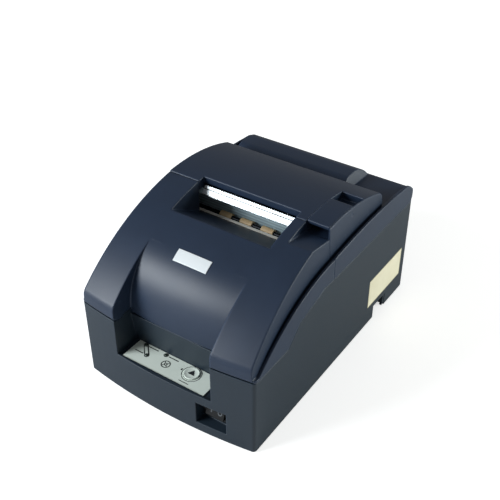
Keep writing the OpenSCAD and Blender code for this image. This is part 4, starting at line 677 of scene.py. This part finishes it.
# Dark crosses laid over the capacitors' tops, painted as the shade in their vent scores.
for x, y in capacitor_places:
    block(score_shades, (x - 3.0, y - 0.15, top + 9.82), (x + 3.0, y + 0.15, top + 9.9))
    block(score_shades, (x - 0.15, y - 3.0, top + 9.82), (x + 0.15, y + 3.0, top + 9.9))
for row in range(4):
    for step in range(7):
        x, y = -2.0 + step * 4.4, -14.0 + row * 3.4
        block(small_parts, (x - 1.0, y - 0.6, top), (x + 1.0, y + 0.6, top + 0.55), 0.08)
        block(legs, (x - 1.02, y - 0.62, top), (x - 0.7, y + 0.62, top + 0.57))
        block(legs, (x + 0.7, y - 0.62, top), (x + 1.02, y + 0.62, top + 0.57))
turned(crystal, (-2.0, -30.0, top), up,
       [(0, 0), (2.6, 0), (2.6, 0.5), (2.3, 0.6), (2.3, 3.2), (2.0, 3.5), (0, 3.5)], 28)
into_scene("chip_legs", legs, tin_finish, "case")
into_scene("capacitor_score_shade", score_shades, print_ink, "case")
into_scene("small_resistors", small_parts, black_finish, "case")
into_scene("clock_crystal", crystal, tin_finish, "case")

# ---------------------------------------------------------------- cables inside
# A flat cable from the panel's board and two insulated leads from the power switch,
# pushed into headers on the main board, as the motors' leads are.
flat_finish = moulded("flat_cable", rgb("#b9b6ac"), rgb("#cfccc2"), 0.4, edge=0.0001, wear_and_highlight=0.0)
flat_outline = [(-99.0, 29.3), (-94.5, 28.2), (-91.6, 24.5), (-90.6, 18.5), (-88.6, 14.4), (-84.0, 13.2),
                (-84.0, 12.9), (-88.9, 14.0), (-91.0, 18.2), (-92.0, 24.2), (-94.9, 27.7), (-99.0, 28.8)]
flat_x, flat_width = -8, 14
flat = bmesh.new()
pressed(flat, [(flat_x, y, z) for y, z in flat_outline], (flat_width, 0, 0))
into_scene("panel_cable", flat, flat_finish, "case")
headers = bmesh.new()
block(headers, (-9.5, -85.5, top), (7.5, -80.5, top + 3.6), 0.3)
block(headers, (-45.5, -80.5, top), (-36.5, -75.5, top + 4.6), 0.3)
block(headers, (32.0, 9.6, top), (40.0, 17.6, top + 4.4), 0.3)
block(headers, (29.5, -85.0, top), (43.5, -80.0, top + 5.0), 0.3)
header_finish = moulded("header_plastic", rgb("#d8d4c6"), rgb("#e9e5d8"), 0.45, edge=0.0003)
into_scene("cable_headers", headers, header_finish, "case")
for place, (tone, code) in enumerate([("brown", "#4a2c1a"), ("blue", "#1c3c86")]):
    x = 36.3 + 9.5 * place
    skin = moulded("switch_lead_" + tone, rgb(code), rgb(code), 0.45, edge=0.0001, wear_and_highlight=0.0)
    wire("switch_lead_" + tone, [(x, -98.6, 21.7), (x, -95.0, 21.5), (x - 1.0, -91.5, 19.0),
                                 (34.0 + 5.0 * place, -88.5, 15.5), (33.5 + 5.0 * place, -84.5, 14.2)],
         0.9, skin, "case")

# ---------------------------------------------------------------- connectors at the back
# Spring bails beside the data socket, gilt contacts in the drawer socket and the
# plated rim of the power socket.
gold_finish = metal("gold_contacts", rgb("#c49a4a"), rgb("#e0bd70"), 0.25)
contacts = bmesh.new()
for step in range(6):
    block(contacts, (10.9 + step * 1.2, 60.1, 14.3), (11.4 + step * 1.2, 66.5, 14.7), 0.05)
into_scene("socket_contacts", contacts, gold_finish, "case")
for side in (-1, 1):
    x = -27.0 + 20.6 * side
    wire("data_socket_bail_" + ("left" if side < 0 else "right"),
         [(x - 0.6 * side, 65.4, 22.4), (x, 67.0, 22.6), (x + 0.3 * side, 70.5, 22.6),
          (x + 0.3 * side, 71.6, 20.6), (x + 0.3 * side, 71.6, 15.4), (x + 0.3 * side, 70.5, 13.4),
          (x, 67.0, 13.4), (x - 0.6 * side, 65.4, 13.6)],
         0.5, bright_finish, "case")
rims = bmesh.new()
turned(rims, (38.0, 67.9, 18.0), (0, 1, 0), [(5.0, 0), (5.1, 0.35), (6.7, 0.35), (6.9, 0)], 40)
into_scene("power_socket_rim", rims, motor_finish, "case")

# ---------------------------------------------------------------- ribbon cassette and print head
# Moulded lines, a ring and a plain arrow on the cassette's lid; the small board with
# its connector and three screws on the back of the print head.
lid_z, mark_top = 83.98, 84.12
cassette_lid = bmesh.new()
for y in (-82.6, -48.2):
    block(cassette_lid, (-60.5, y, lid_z), (60.5, y + 0.4, mark_top))
turned(cassette_lid, (-24.0, -66.0, lid_z), up, [(4.6, 0), (4.6, 0.12), (5.4, 0.12), (5.4, 0)], 36)
arrow_outline = [(-8, -70), (-8, -66), (-1, -66), (-1, -64), (4, -68), (-1, -72), (-1, -70)]
pressed(cassette_lid, [(x, y, lid_z) for x, y in arrow_outline], (0, 0, mark_top - lid_z))
cassette_print = moulded("cassette_print", rgb("#8f959b"), rgb("#a4aab0"), 0.5, edge=0.0001, wear_and_highlight=0.0)
into_scene("cassette_marks", cassette_lid, cassette_print, "case")
head_back = bmesh.new()
head_z = 74.0
turned(head_back, (0, -42.0, head_z), (0, -1, 0), [(0, 0.7), (7.4, 0.7), (7.9, 0.4), (8.0, 0), (0, 0)], 48)
block(head_back, (-6.0, -43.6, 76.0), (6.0, -42.6, 79.2), 0.3)
into_scene("head_back_board", head_back, board_finish, "print_carriage")
head_screws = bmesh.new()
for turn in range(3):
    a = math.radians(-90 + 120 * turn)
    turned(head_screws, (5.6 * math.cos(a), -42.7, head_z + 5.6 * math.sin(a)), (0, -1, 0),
           [(0, 0.55), (0.9, 0.5), (1.2, 0.25), (1.2, 0), (0, 0)], 20)
into_scene("head_screws", head_screws, bright_finish, "print_carriage")
